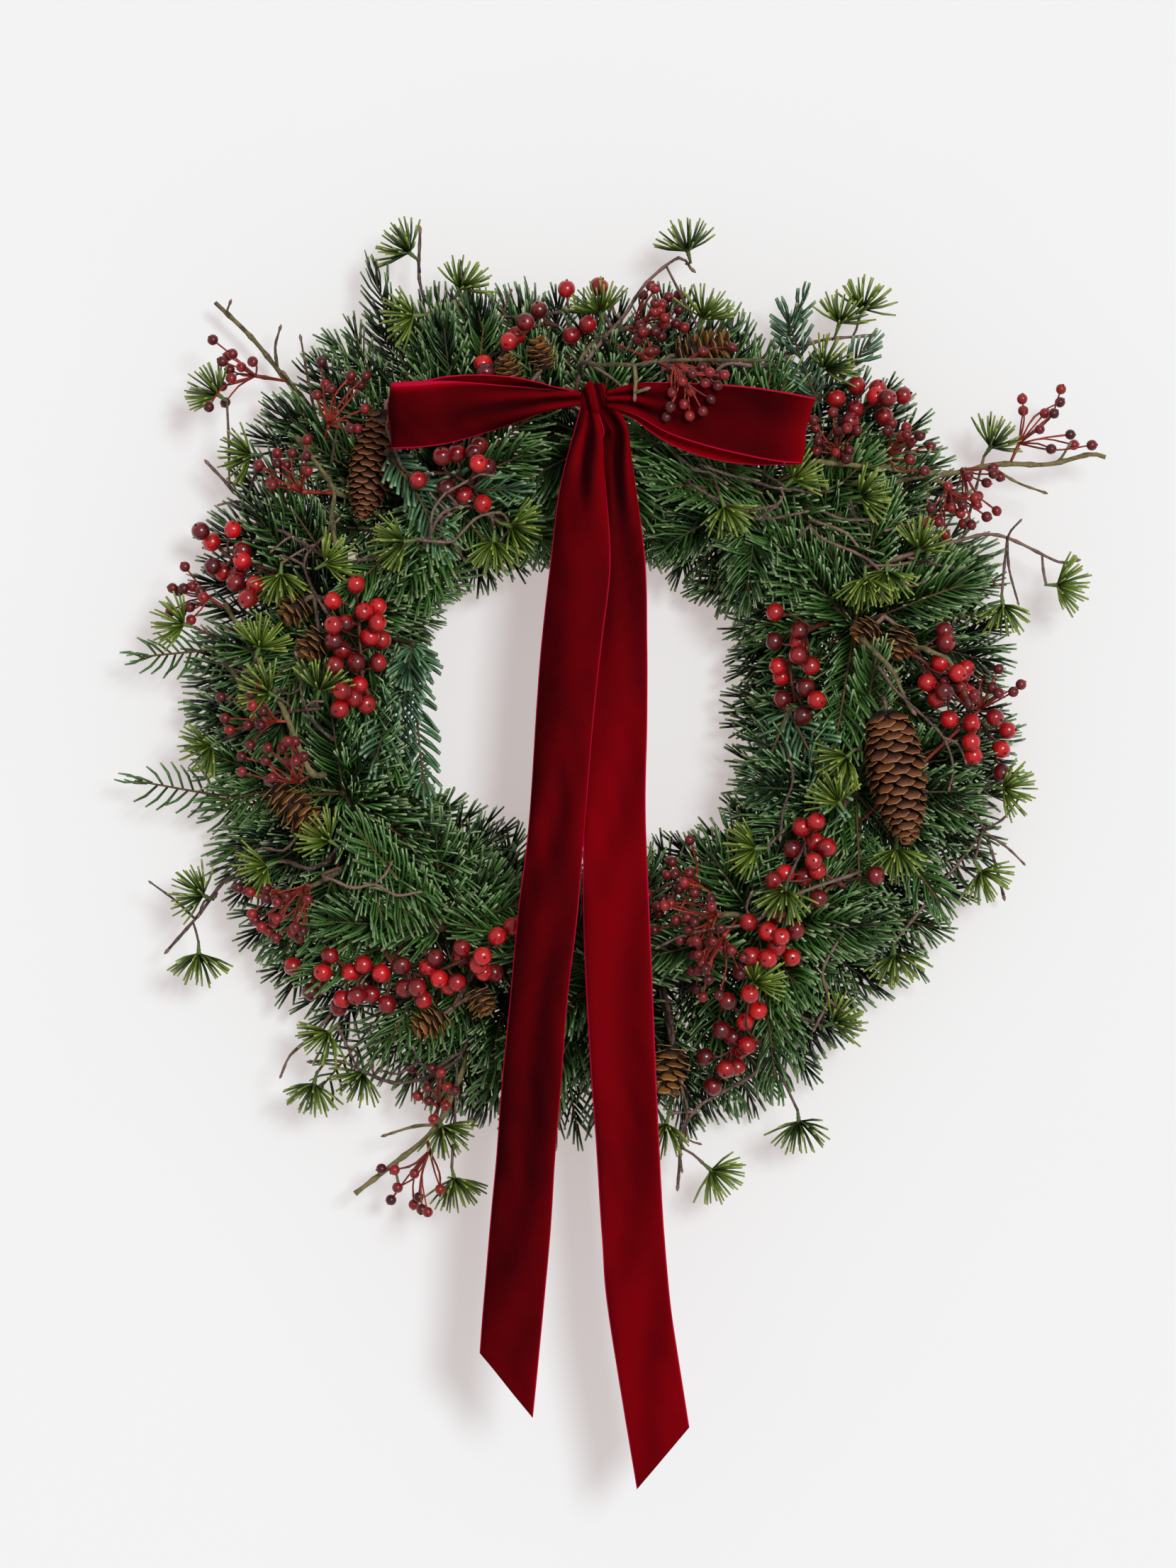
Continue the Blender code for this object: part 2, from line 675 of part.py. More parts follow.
def add_heads(piece, path, heads, room, rng):
    """Heads of small berries, each on thin stems that spread from one hub."""
    for hub_pixel, middle_pixel in heads:
        for shift in depth_shifts():
            hub = place(hub_pixel, foliage_forward(hub_pixel) + 6 * MM + shift)
            foot = join_point(path, hub)
            stalk = [(foot, hub, HUB_RADIUS * 0.85)]
            if room.clear(piece.owner, stalk):
                break
        else:
            continue
        room.take(piece.owner, stalk)
        past = hub + (hub - foot).normalized() * 1.5 * MM
        if (hub - foot).length > 2 * MM:
            piece.solids.append(even_stem([foot, past], HEAD_STEM, HUB_RADIUS, 4))
        else:
            piece.solids.append(ball(hub, HUB_RADIUS, False))
        reach = (place(middle_pixel, 0) - place(hub_pixel, 0)).length
        axis = (place(middle_pixel, 12 * MM) - place(hub_pixel, 0)).normalized()
        for index in range(HEAD_BERRIES):
            turn = index * 2.4 + rng.uniform(-0.3, 0.3)
            for attempt in range(12):
                spread = math.sqrt((index + 0.5) / HEAD_BERRIES)
                lean = HEAD_LEAN[0] + HEAD_LEAN[1] * spread + rng.uniform(-8, 8) * attempt / 3
                lean = math.radians(lean)
                aside = Quaternion(axis, turn + 0.3 * attempt) @ axis.orthogonal().normalized()
                way = axis * math.cos(lean) + aside * math.sin(lean)
                spot = hub + way * reach * rng.uniform(0.85, 1.25)
                rods = [(spot, spot, SMALL_BERRY_RADIUS * 1.1), (hub, spot, HEAD_STEM)]
                own = room.owners == piece.owner
                if room.free(own, spot, spot) < SMALL_BERRY_RADIUS * 1.1 + CLEARANCE:
                    continue
                if room.clear(piece.owner, rods):
                    room.take(piece.owner, rods)
                    piece.solids.append(berry(hub, spot, SMALL_BERRY_RADIUS, HEAD_STEM, False))
                    break


def add_tuft_feet(piece, path, tufts, room, _):
    """The side twigs that end in tufts. The needles come later, once every stem has its place."""
    feet = []
    for foot_pixel, middle_pixel in tufts:
        for shift in depth_shifts():
            foot = place(foot_pixel, foliage_forward(foot_pixel) + 8 * MM + shift)
            lift = 4 * MM
            middle = place(middle_pixel, foliage_forward(foot_pixel) + 8 * MM + shift + lift)
            axis = (middle - foot).normalized()
            mouth = foot + axis * SOCKET_LENGTH
            start = join_point(path, foot)
            rods = [(foot, mouth, SOCKET_RADIUS)]
            far = (foot - start).length > 2 * MM
            if far:
                rods.append((start, foot, TUFT_STEM * 0.7))
            spread = (mouth, mouth + axis * 8 * MM, 3 * MM)
            if room.clear(piece.owner, rods + [spread]):
                room.take(piece.owner, rods)
                feet.append((start, foot, middle))
                break
    return feet


def sheet(rows, thickness):
    """A closed cloth solid: a grid of rows, given its thickness to both sides."""
    bm = bmesh.new()
    grid = [[bm.verts.new(point) for point in row] for row in rows]
    for upper, lower in zip(grid, grid[1:]):
        for k in range(len(upper) - 1):
            bm.faces.new((upper[k], upper[k + 1], lower[k + 1], lower[k]))
    bmesh.ops.recalc_face_normals(bm, faces=bm.faces)
    bmesh.ops.solidify(bm, geom=bm.faces, thickness=thickness)
    bmesh.ops.recalc_face_normals(bm, faces=bm.faces)
    return bm


def sheet_rods(rows):
    rods = []
    for upper, lower in zip(rows, rows[1:]):
        rods += [(a, b, RIBBON_ROD) for a, b in zip(upper, lower)]
    for row in rows:
        rods += [(a, b, RIBBON_ROD) for a, b in zip(row, row[1:])]
    return rods


def tail_rows(rows, end, fold):
    """A hanging tail: gathered by folds at the knot, which open out below, and cut slantwise."""
    made = []
    last_column = TAIL_COLUMNS - 1
    for height, left, right, forward in rows:
        narrow = max(0.0, 1 - (right - left) * PIXEL / RIBBON_WIDTH)
        row = []
        for k in range(TAIL_COLUMNS):
            pixel = (left + (right - left) * k / last_column, height)
            ripple = math.cos(k * math.pi) * narrow * 3 * MM + fold * math.sin(math.pi * k / last_column)
            row.append(place(pixel, forward + ripple))
        made.append(row)
    (start_height, start_across, start_forward), (end_height, end_across, end_forward) = end
    last = []
    for k in range(TAIL_COLUMNS):
        share = k / last_column
        pixel = (
            start_across + (end_across - start_across) * share,
            start_height + (end_height - start_height) * share,
        )
        last.append(place(pixel, start_forward + (end_forward - start_forward) * share))
    made.append(last)
    return made


def loop_rows(rows, end, lift):
    """A bow loop: out along its front, round its end and back along its rear, a little higher there."""
    made = []
    for layer, order in ((1, rows), (-1, rows[::-1])):
        for index, (across, top, bottom) in enumerate(order):
            out = index / (len(rows) - 1)
            if layer == -1:
                out = 1 - out
            raised = lift * math.sin(math.pi * min(1.0, out)) if layer == -1 else 0
            gap = LOOP_HALF_GAP * (0.28 + 0.72 * out)
            narrow = max(0.0, 1 - (bottom - top) * PIXEL / RIBBON_WIDTH)
            row = []
            for k in range(LOOP_COLUMNS):
                share = k / (LOOP_COLUMNS - 1)
                height = top + (bottom - top) * share - raised
                ripple = layer * math.sin(math.pi * share) * narrow * 5 * MM
                row.append(place((across, height), BOW_FORWARD + layer * gap + ripple))
            made.append(row)
        if layer == 1:
            across, top, bottom = end
            for turn in (0.55, -0.55):
                heights = [top + (bottom - top) * k / (LOOP_COLUMNS - 1) for k in range(LOOP_COLUMNS)]
                forward = BOW_FORWARD + turn * LOOP_HALF_GAP
                made.append([place((across, height), forward) for height in heights])
    return made


def make_object(name, bm, material, collection):
    mesh = bpy.data.meshes.new(name)
    bm.to_mesh(mesh)
    bm.free()
    mesh.materials.append(material)
    made = bpy.data.objects.new(name, mesh)
    collection.objects.link(made)
    return made


def join(piece, collection):
    """Makes one body of a piece's solids by one Boolean union on the collection of the rest."""
    body = make_object(piece.name, piece.solids[0], piece.material, collection)
    if len(piece.solids) > 1:
        rest = bpy.data.collections.new(piece.name + "_rest")
        bpy.context.scene.collection.children.link(rest)
        for solid in piece.solids[1:]:
            make_object("solid", solid, piece.material, rest)
        union = body.modifiers.new("union", "BOOLEAN")
        union.operation = "UNION"
        union.operand_type = "COLLECTION"
        union.collection = rest
        union.solver = "MANIFOLD"
        graph = bpy.context.evaluated_depsgraph_get()
        joined = bpy.data.meshes.new_from_object(body.evaluated_get(graph))
        body.modifiers.clear()
        body.data = joined
        for helper in list(rest.objects):
            bpy.data.objects.remove(helper)
        bpy.data.collections.remove(rest)
    return body


def twig_ring(collection, material):
    """The ring: strands of vine twisted round each other, as relief on one tube."""
    bpy.ops.mesh.primitive_torus_add(
        major_segments=RING_STEPS[0], minor_segments=RING_STEPS[1],
        major_radius=RING_RADIUS, minor_radius=RING_TUBE,
    )
    ring = bpy.context.object
    ring.name = "twig_ring"
    for vert in ring.data.vertices:
        angle = math.atan2(vert.co.y, vert.co.x)
        core = Vector((math.cos(angle), math.sin(angle), 0)) * RING_RADIUS
        out = vert.co - core
        around = math.atan2(out.z, out.to_2d().dot(core.to_2d().normalized()))
        relief = 1 + RING_RELIEF * math.cos(RING_STRANDS * around + RING_TWISTS * angle)
        vert.co = core + out * relief
    ring.data.transform(Matrix.Translation(CENTRE) @ Matrix.Rotation(math.pi / 2, 4, "X"))
    flat = bmesh.new()
    flat.from_mesh(ring.data)
    bmesh.ops.triangulate(flat, faces=flat.faces)
    flat.to_mesh(ring.data)
    flat.free()
    ring.data.materials.append(material)
    for user in list(ring.users_collection):
        user.objects.unlink(ring)
    collection.objects.link(ring)
    return ring


def knot_edge(size):
    """Half the knot's size and the gap a seated piece keeps, in pixels."""
    return (size / 2 + TOUCH_GAP) / PIXEL


def make_bow(room, material):
    """The bow: a knot on a tie that reaches back to the ring, two loops and two tails."""
    knot = Piece("bow_knot", material)
    middle = place(KNOT_PIXEL, BOW_FORWARD)
    width, depth, height = KNOT_SIZE
    bm = bmesh.new()
    upright = Matrix.Rotation(math.pi / 2, 4, "Y")
    bmesh.ops.create_cone(
        bm, cap_ends=True, segments=8, radius1=0.5, radius2=0.5, depth=1, matrix=upright
    )
    rims = [edge for edge in bm.edges if len(edge.link_faces[0].verts) != len(edge.link_faces[1].verts)]
    bmesh.ops.bevel(
        bm, geom=rims, offset=0.16, segments=1, profile=0.5, affect="EDGES", material=-1
    )
    bmesh.ops.transform(
        bm, matrix=Matrix.Translation(middle) @ Matrix.Diagonal((width, depth, height, 1)), verts=bm.verts
    )
    knot.solids.append(bm)
    start, way = seat(middle, 0, 0, TIE_RADIUS)
    tie = smooth([start, start + way * 6 * MM, middle + Vector((0, depth * 0.2, 0))], 20 * MM)
    knot.solids.append(even_stem(tie, TIE_RADIUS, TIE_RADIUS, 6))
    room.take(knot.owner, rods_of(tie, TIE_RADIUS) + [(middle, middle, height / 2)])
    pieces = [knot]
    under = KNOT_PIXEL[1] + knot_edge(height)
    left_top = (under, *TAIL_TOPS["left"], BOW_FORWARD)
    right_top = (under, *TAIL_TOPS["right"], BOW_FORWARD)
    left_root = (KNOT_PIXEL[0] - knot_edge(width), *LOOP_ROOT)
    right_root = (KNOT_PIXEL[0] + knot_edge(width), *LOOP_ROOT)
    sheets = {
        "bow_tail_left": tail_rows([left_top] + LEFT_TAIL_ROWS, LEFT_TAIL_END, 1.5 * MM),
        "bow_tail_right": tail_rows([right_top] + RIGHT_TAIL_ROWS, RIGHT_TAIL_END, -1.5 * MM),
        "bow_loop_left": loop_rows([left_root] + LEFT_LOOP_ROWS, LEFT_LOOP_END, LOOP_REAR_LIFT["left"]),
        "bow_loop_right": loop_rows([right_root] + RIGHT_LOOP_ROWS, RIGHT_LOOP_END, LOOP_REAR_LIFT["right"]),
    }
    for name, rows in sheets.items():
        piece = Piece(name, material)
        piece.solids.append(sheet(rows, RIBBON_THICKNESS))
        room.take(piece.owner, sheet_rods(rows))
        pieces.append(piece)
    return pieces


def make_cones(room, rng, material):
    pieces = []
    for name, cones in CONE_PICKS.items():
        piece = Piece("cone_" + name, material)
        bodies = []
        for foot_pixel, tip_pixel, width in cones:
            radius = width * PIXEL / 2
            forward = foliage_forward(foot_pixel) - 4 * MM
            for shift in depth_shifts():
                foot = place(foot_pixel, forward + shift)
                tip = place(tip_pixel, forward + shift + 3 * MM)
                third = (tip - foot) / 3
                rods = [(foot, foot + third * 2, radius), (foot + third * 2, tip, radius * 0.75)]
                if room.clear(piece.owner, rods):
                    break
            room.take(piece.owner, rods)
            bodies.append((foot, tip, radius))
        first_foot, first_tip, _ = bodies[0]
        back = first_foot - (first_tip - first_foot).normalized() * 7 * MM
        path = find_stem(piece, [back, first_foot], CONE_STEM, room, rng)
        path.append(first_foot + (first_tip - first_foot).normalized() * 2 * MM)
        piece.solids.append(even_stem(path, CONE_STEM * 1.07, CONE_STEM * 0.87, 4))
        for foot, tip, radius in bodies:
            piece.solids.append(cone_solid(foot, tip, radius))
        for foot, tip, _ in bodies[1:]:
            inside = foot + (tip - foot).normalized() * 2 * MM
            piece.solids.append(even_stem([path[-3], inside], CONE_STEM * 0.93, CONE_STEM * 0.8, 3))
        pieces.append(piece)
    return pieces


def make_stemmed(prefix, picks, radius, add_ends, room, rng, material):
    """Pieces that are one stem from the ring with ends of some kind on side twigs."""
    pieces = []
    sides = 4
    if radius < CONE_STEM:
        sides = 3
    for name, (pixels, ends) in picks.items():
        piece = Piece(prefix + name, material)
        points = [place(pixel, foliage_forward(pixel)) for pixel in pixels]
        path = find_stem(piece, points, radius, room, rng)
        piece.solids.append(even_stem(path, radius * 1.05, radius * 0.7, sides))
        piece.feet = add_ends(piece, path, ends, room, rng)
        pieces.append(piece)
    return pieces


def spray_plan():
    """Each spray's name, its hub and the tips of its branchlets, as angle, distance and forward reach."""
    plan = []
    for index in range(SPRUCE_SPRAYS):
        angle = math.tau * (index + 0.5) / SPRUCE_SPRAYS
        tips = list(SPRUCE_TIPS)
        if index % 2:
            tips.append(SPRUCE_FORWARD_TIP)
        places = [(angle + turn, distance, forward) for turn, distance, forward in tips]
        plan.append((f"spruce_spray_{index + 1:02d}", angle, places))
    return plan


def polar(angle, distance, forward):
    return CENTRE + Vector((math.cos(angle) * distance, -forward, math.sin(angle) * distance))


def find_branchlet(piece, hub, tip, room, rng):
    """A clear, gently bowed way from the hub to about the tip."""
    for attempt in range(240):
        loose = min(1.0, attempt / 60) * 0.3
        length = (tip - hub).length
        moved = tip + Vector([rng.uniform(-1, 1) * loose * length for _ in range(3)])
        sag = Vector((0, rng.uniform(-0.08, 0.08) * length, rng.uniform(-0.06, 0.06) * length))
        curve = smooth([hub, (hub + moved) / 2 + sag, moved], 18 * MM)
        rods = rods_of(curve, 1.4 * MM)
        own = room.owners == piece.owner
        crossing = room.free(own, curve[2], curve[-1]) < 4 * MM
        if room.clear(piece.owner, rods) and not crossing:
            return curve
    return None


def find_hub(piece, angle, distance, forward, room, rng):
    for attempt in range(200):
        loose = min(1.0, attempt / 60)
        hub = polar(
            angle + rng.uniform(-0.12, 0.12) * loose,
            distance + rng.uniform(-10, 10) * MM * loose,
            forward + rng.uniform(-4, 14) * MM * loose,
        )
        start, way = seat(hub, 0, 0, SPRAY_STEM)
        knee = start + way * 4 * MM
        others = room.owners != piece.owner
        if min(room.free(others, start, knee), room.free(others, knee, hub)) > SPRAY_STEM + CLEARANCE:
            room.take(piece.owner, rods_of([start, knee, hub], SPRAY_STEM))
            return start, knee, hub
    raise RuntimeError(f"{piece.name} found no hub")


def plan_spray(piece, angle, distance, forward, tips, room, rng):
    start, knee, hub = find_hub(piece, angle, distance, forward, room, rng)
    beyond = hub + (hub - knee).normalized() * 2.5 * MM
    piece.solids.append(even_stem([start, knee, beyond], SPRAY_STEM, SPRAY_STEM, 5))
    curves = []
    for tip in tips:
        curve = find_branchlet(piece, hub, tip, room, rng)
        if curve:
            room.take(piece.owner, rods_of(curve, 1.2 * MM))
            curves.append(curve)
    return curves


def make_sprays(room, rng, spruce, fir):
    """Plans every spray's branchlets first, and gives back what the needles are then grown on."""
    jobs = []
    reaching = [place(pixel, 20 * MM) for pixel in REACHING_TIPS]
    for name, angle, ends in spray_plan():
        piece = Piece(name, spruce)
        tips = [polar(*end) for end in ends]
        for tip in reaching:
            lean = math.atan2(tip.z - CENTRE.z, tip.x) - angle
            if abs(math.remainder(lean, math.tau)) < math.pi / SPRUCE_SPRAYS:
                tips[0] = tip
        curves = plan_spray(piece, angle, *SPRUCE_HUB, tips, room, rng)
        jobs.append((piece, curves, SPRUCE_NEEDLE, False))
    for name, (hub_pixel, tip_pixels) in FIR_SPRAYS.items():
        piece = Piece("fir_spray_" + name, fir)
        flat = place(hub_pixel, 0) - CENTRE
        tips = [place(pixel, foliage_forward(pixel) + 6 * MM) for pixel in tip_pixels]
        angle = math.atan2(flat.z, flat.x)
        curves = plan_spray(piece, angle, flat.length, FIR_HUB_FORWARD, tips, room, rng)
        jobs.append((piece, curves, FIR_NEEDLE, True))
    return jobs


def main():
    global ring_surface
    for old in list(bpy.data.objects):
        bpy.data.objects.remove(old)
    wreath = bpy.data.collections.new("berry_wreath")
    bpy.context.scene.collection.children.link(wreath)
    rng = random.Random(SEED)

    vine = finish("vine", (0.035, 0.022, 0.016), 0.8)
    velvet = finish("velvet", (0.16, 0.0, 0.012), 0.75)
    red = finish("red_berry", (0.42, 0.012, 0.014), 0.25)
    dusty = finish("dusty_berry", (0.2, 0.024, 0.026), 0.5)
    brown = finish("cone_scale", (0.14, 0.05, 0.018), 0.6)
    spruce = finish("spruce_needle", (0.016, 0.07, 0.018), 0.4)
    fir = finish("fir_needle", (0.05, 0.16, 0.08), 0.5)
    lime = finish("tuft_needle", (0.17, 0.24, 0.02), 0.5)

    ring = twig_ring(wreath, vine)
    ring_surface = BVHTree.FromPolygons(
        [vert.co for vert in ring.data.vertices], [face.vertices for face in ring.data.polygons]
    )
    room = Room()
    pieces = make_bow(room, velvet)
    pieces += make_cones(room, rng, brown)
    pieces += make_stemmed("berry_bunch_", BERRY_BUNCHES, BUNCH_STEM, add_berries, room, rng, red)
    pieces += make_stemmed("dusty_twig_", DUSTY_TWIGS, DUSTY_STEM, add_heads, room, rng, dusty)
    tufted = make_stemmed("tuft_twig_", TUFT_TWIGS, TUFT_STEM, add_tuft_feet, room, rng, lime)
    jobs = make_sprays(room, rng, spruce, fir)
    for piece in tufted:
        for start, foot, middle in piece.feet:
            piece.solids.append(tuft(start, foot, middle, room, piece.owner, rng))
    for piece, curves, length, flat in jobs:
        for curve in curves:
            rows = max(3, round((curve[-1] - curve[0]).length / WHORL_SPACING))
            piece.solids.append(branchlet(curve, rows, length, room, piece.owner, rng, flat))
    for piece in pieces + tufted + [job[0] for job in jobs]:
        join(piece, wreath)


main()
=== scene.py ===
"""The berry wreath of the photograph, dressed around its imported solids.

Every stem, berry, cone and ribbon is planned as the solids were, from the same places and in the same
order, so that what is laid along that plan sits where the solids sit.
"""

import math
import random

import bmesh
import bpy
import numpy as np
from mathutils import Matrix, Quaternion, Vector
from mathutils.bvhtree import BVHTree


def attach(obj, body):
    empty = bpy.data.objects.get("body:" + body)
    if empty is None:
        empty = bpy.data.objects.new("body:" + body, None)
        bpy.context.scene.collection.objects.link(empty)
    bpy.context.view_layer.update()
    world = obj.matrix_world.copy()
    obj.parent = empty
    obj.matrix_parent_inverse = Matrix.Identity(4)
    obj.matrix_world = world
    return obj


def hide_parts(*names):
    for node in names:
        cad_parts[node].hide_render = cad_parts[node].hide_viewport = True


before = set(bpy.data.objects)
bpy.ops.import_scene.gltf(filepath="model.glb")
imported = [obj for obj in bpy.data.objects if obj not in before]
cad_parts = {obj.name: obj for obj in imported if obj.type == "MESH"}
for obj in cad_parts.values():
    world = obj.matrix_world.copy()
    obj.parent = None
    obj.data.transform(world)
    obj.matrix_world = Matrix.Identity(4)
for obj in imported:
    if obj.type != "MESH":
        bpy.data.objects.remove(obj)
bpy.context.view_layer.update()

MM = 0.001
SEED = 11
TOUCH_GAP = 0.3 * MM
CLEARANCE = 0.25 * MM

RING_RADIUS = 165 * MM
RING_TUBE = 14 * MM
RING_STRANDS = 3
RING_TWISTS = 13
RING_RELIEF = 0.1
RING_STEPS = (32, 7)

RIBBON_WIDTH = 38 * MM
BOW_DEPTH = 88
BOW_FORWARD = BOW_DEPTH * MM
LOOP_HALF_GAP = 7 * MM
KNOT_SIZE = (15 * MM, 13 * MM, 18 * MM)
KNOT_PIXEL = (838, 565)
TIE_RADIUS = 2.5 * MM
COLUMNS = 4
RIBBON_ROD = 2.5 * MM

FOLIAGE_EDGE_FORWARD = 18 * MM
FOLIAGE_CROWN_FORWARD = 62 * MM
FOLIAGE_SPREAD = 55 * MM

SPRAY_STEM = 2 * MM

BIG_BERRY_RADIUS = 5.85 * MM
SMALL_BERRY_RADIUS = 3.4 * MM
BERRY_STEM = 0.9 * MM
HEAD_STEM = 0.7 * MM
HUB_RADIUS = 1.3 * MM
HEAD_BERRIES = 5
HEAD_LEAN = (10, 38)
SOCKET_LENGTH = 9 * MM
SOCKET_RADIUS = 1.7 * MM

CONE_STEM = 1.5 * MM

BUNCH_STEM = 1.4 * MM
DUSTY_STEM = 1.9 * MM
TUFT_STEM = 1.3 * MM
STEM_STEP = 28 * MM
STEM_TRIES = 900
STRAY_AFTER = 200
STRAY_REACH = 12 * MM
# How far a part may move forward or back where it has no room, nearest first.
DEPTH_SHIFTS = [0.0] + [side * step * 3 * MM for step in range(1, 9) for side in (1, -1)]

# The reference view looks straight at the wall. Places below are its pixels, and this maps them to metres.
PIXEL = 0.435 * MM
CENTRE_PIXEL = (846, 1001)
CENTRE = Vector((0, 0, RING_TUBE - RING_RADIUS))
RING_UPRIGHT = Matrix.Translation(CENTRE) @ Matrix.Rotation(math.pi / 2, 4, "X")

# The tips of a spruce spray's branchlets: how far round from its hub, from the centre, and forward.
SPRUCE_SPRAYS = 10
SPRUCE_HUB = (166 * MM, 27 * MM)
SPRUCE_TIPS = [
    (0.24, 236 * MM, 6 * MM), (-0.2, 240 * MM, 34 * MM), (0.3, 104 * MM, 26 * MM), (-0.26, 100 * MM, 2 * MM),
]
SPRUCE_FORWARD_TIP = (0.5, 172 * MM, 58 * MM)
FIR_HUB_FORWARD = 44 * MM
# Each fir spray's hub and tips, in pixels, then the boughs that only this model has, each from its middle.
FIR_SPRAYS = {
    "upper_left": (
        [(545, 640)],
        [(568, 775), (505, 690)],
        [((545, 750), (563, 640)), ((600, 690), (735, 692)), ((560, 600), (470, 660)),
         ((590, 700), (625, 775))],
    ),
    "upper_right": (
        [(1150, 560)],
        [(1270, 520), (1110, 440)],
        [((1090, 540), (1135, 415)), ((1180, 600), (1300, 560)), ((1160, 560), (1230, 480))],
    ),
    "inner_left": (
        [(590, 900)],
        [(640, 1075), (560, 1040)],
        [((560, 1060), (545, 985)), ((560, 960), (530, 1075)), ((590, 1040), (600, 1120))],
    ),
    "inner_right": (
        [(1110, 1000)],
        [(1065, 1120), (1180, 1130)],
        [((1120, 990), (1165, 1060)), ((1140, 930), (1200, 1000)), ((1100, 1010), (1090, 1130))],
    ),
}
REACHING_TIPS = [(527, 385), (190, 925), (186, 1100), (440, 1550)]

# Each stem's way by pixels, then what the solid has along it, then what only this model has: the berries of
# a bunch; the hub and the middle of each head of a dusty twig; the foot and the middle of each tuft. A twig
# has bare twiglets as well, each from a pixel to a pixel.
BERRY_BUNCHES = {
    "left_outer": (
        [(372, 800), (325, 786), (300, 765)],
        [(281, 748), (327, 746), (340, 775), (298, 798), (333, 812), (352, 843)],
        [(296, 763), (312, 805), (341, 791), (332, 822), (360, 825), (350, 845)],
    ),
    "left_inner": (
        [(520, 985), (512, 955), (508, 890), (504, 845)],
        [(504, 826), (471, 849), (534, 857), (489, 880), (523, 899), (473, 905), (534, 935), (504, 935),
         (500, 985)],
        [(515, 864), (473, 883), (539, 903), (484, 917), (474, 940), (507, 967), (484, 975), (481, 1001),
         (518, 994), (534, 880)],
    ),
    "top": (
        [(800, 470), (760, 455), (700, 500)],
        [(799, 405), (760, 435), (729, 470), (681, 512)],
        [(845, 402), (829, 456), (806, 471), (741, 454), (718, 483), (685, 525)],
    ),
    "under_left_loop": (
        [(670, 690), (640, 672), (610, 668)],
        [(645, 641), (676, 629), (688, 660), (591, 679), (631, 690), (681, 712)],
        [(670, 640), (676, 657), (625, 646), (655, 700)],
    ),
    "right_of_loop": (
        [(1180, 600), (1215, 575), (1245, 565)],
        [(1210, 542), (1240, 546), (1276, 556), (1181, 561), (1200, 593), (1249, 585)],
        [(1236, 558), (1208, 575), (1252, 562)],
    ),
    "right_inner": (
        [(1140, 890), (1115, 925), (1122, 990)],
        [(1093, 864), (1127, 890), (1092, 905), (1098, 940), (1143, 940), (1104, 986), (1132, 1010)],
        [(1127, 905), (1103, 955), (1136, 970), (1151, 988), (1125, 925)],
    ),
    "right_outer": (
        [(1290, 925), (1330, 960), (1375, 1005), (1410, 1050)],
        [(1327, 935), (1307, 963), (1364, 943), (1340, 1015), (1405, 1012), (1374, 1066), (1416, 1090),
         (1333, 890)],
        [(1320, 986), (1366, 978), (1331, 976), (1371, 1020), (1424, 1030), (1370, 1047), (1415, 1057),
         (1334, 907), (1350, 950)],
    ),
    "right_lower": (
        [(1190, 1250), (1140, 1215), (1135, 1185)],
        [(1130, 1167), (1117, 1197), (1165, 1195), (1107, 1232), (1152, 1228), (1154, 1267)],
        [(1150, 1159), (1149, 1187), (1146, 1214), (1134, 1237), (1090, 1241), (1234, 1235)],
    ),
    "lower_right": (
        [(1130, 1360), (1090, 1330), (1080, 1310)],
        [(1055, 1300), (1095, 1290), (1121, 1312), (1059, 1348), (1116, 1350)],
        [(1082, 1313), (1095, 1335), (1082, 1351), (1045, 1369), (1100, 1320)],
    ),
    "bottom_right": (
        [(1080, 1480), (1045, 1450), (1025, 1500)],
        [(1026, 1412), (1069, 1425), (1017, 1453), (1054, 1475), (995, 1492), (1006, 1534)],
        [(1057, 1401), (1034, 1464), (1051, 1442), (1045, 1482), (1040, 1506), (1024, 1508)],
    ),
    "bottom_left": (
        [(545, 1345), (590, 1375), (640, 1360), (700, 1330)],
        [(571, 1394), (567, 1362), (597, 1410), (615, 1351), (645, 1385), (683, 1370), (702, 1320)],
        [(546, 1417), (589, 1392), (604, 1365), (652, 1336), (650, 1349), (634, 1390), (676, 1359),
         (724, 1306), (682, 1347), (698, 1372), (620, 1380)],
    ),
    "bottom_left_outer": (
        [(540, 1360), (500, 1375), (440, 1375)],
        [(411, 1364), (465, 1348), (437, 1400), (494, 1372), (482, 1410), (523, 1403)],
        [(448, 1392), (513, 1361), (476, 1422), (538, 1373), (514, 1390), (503, 1405), (455, 1372)],
    ),
}

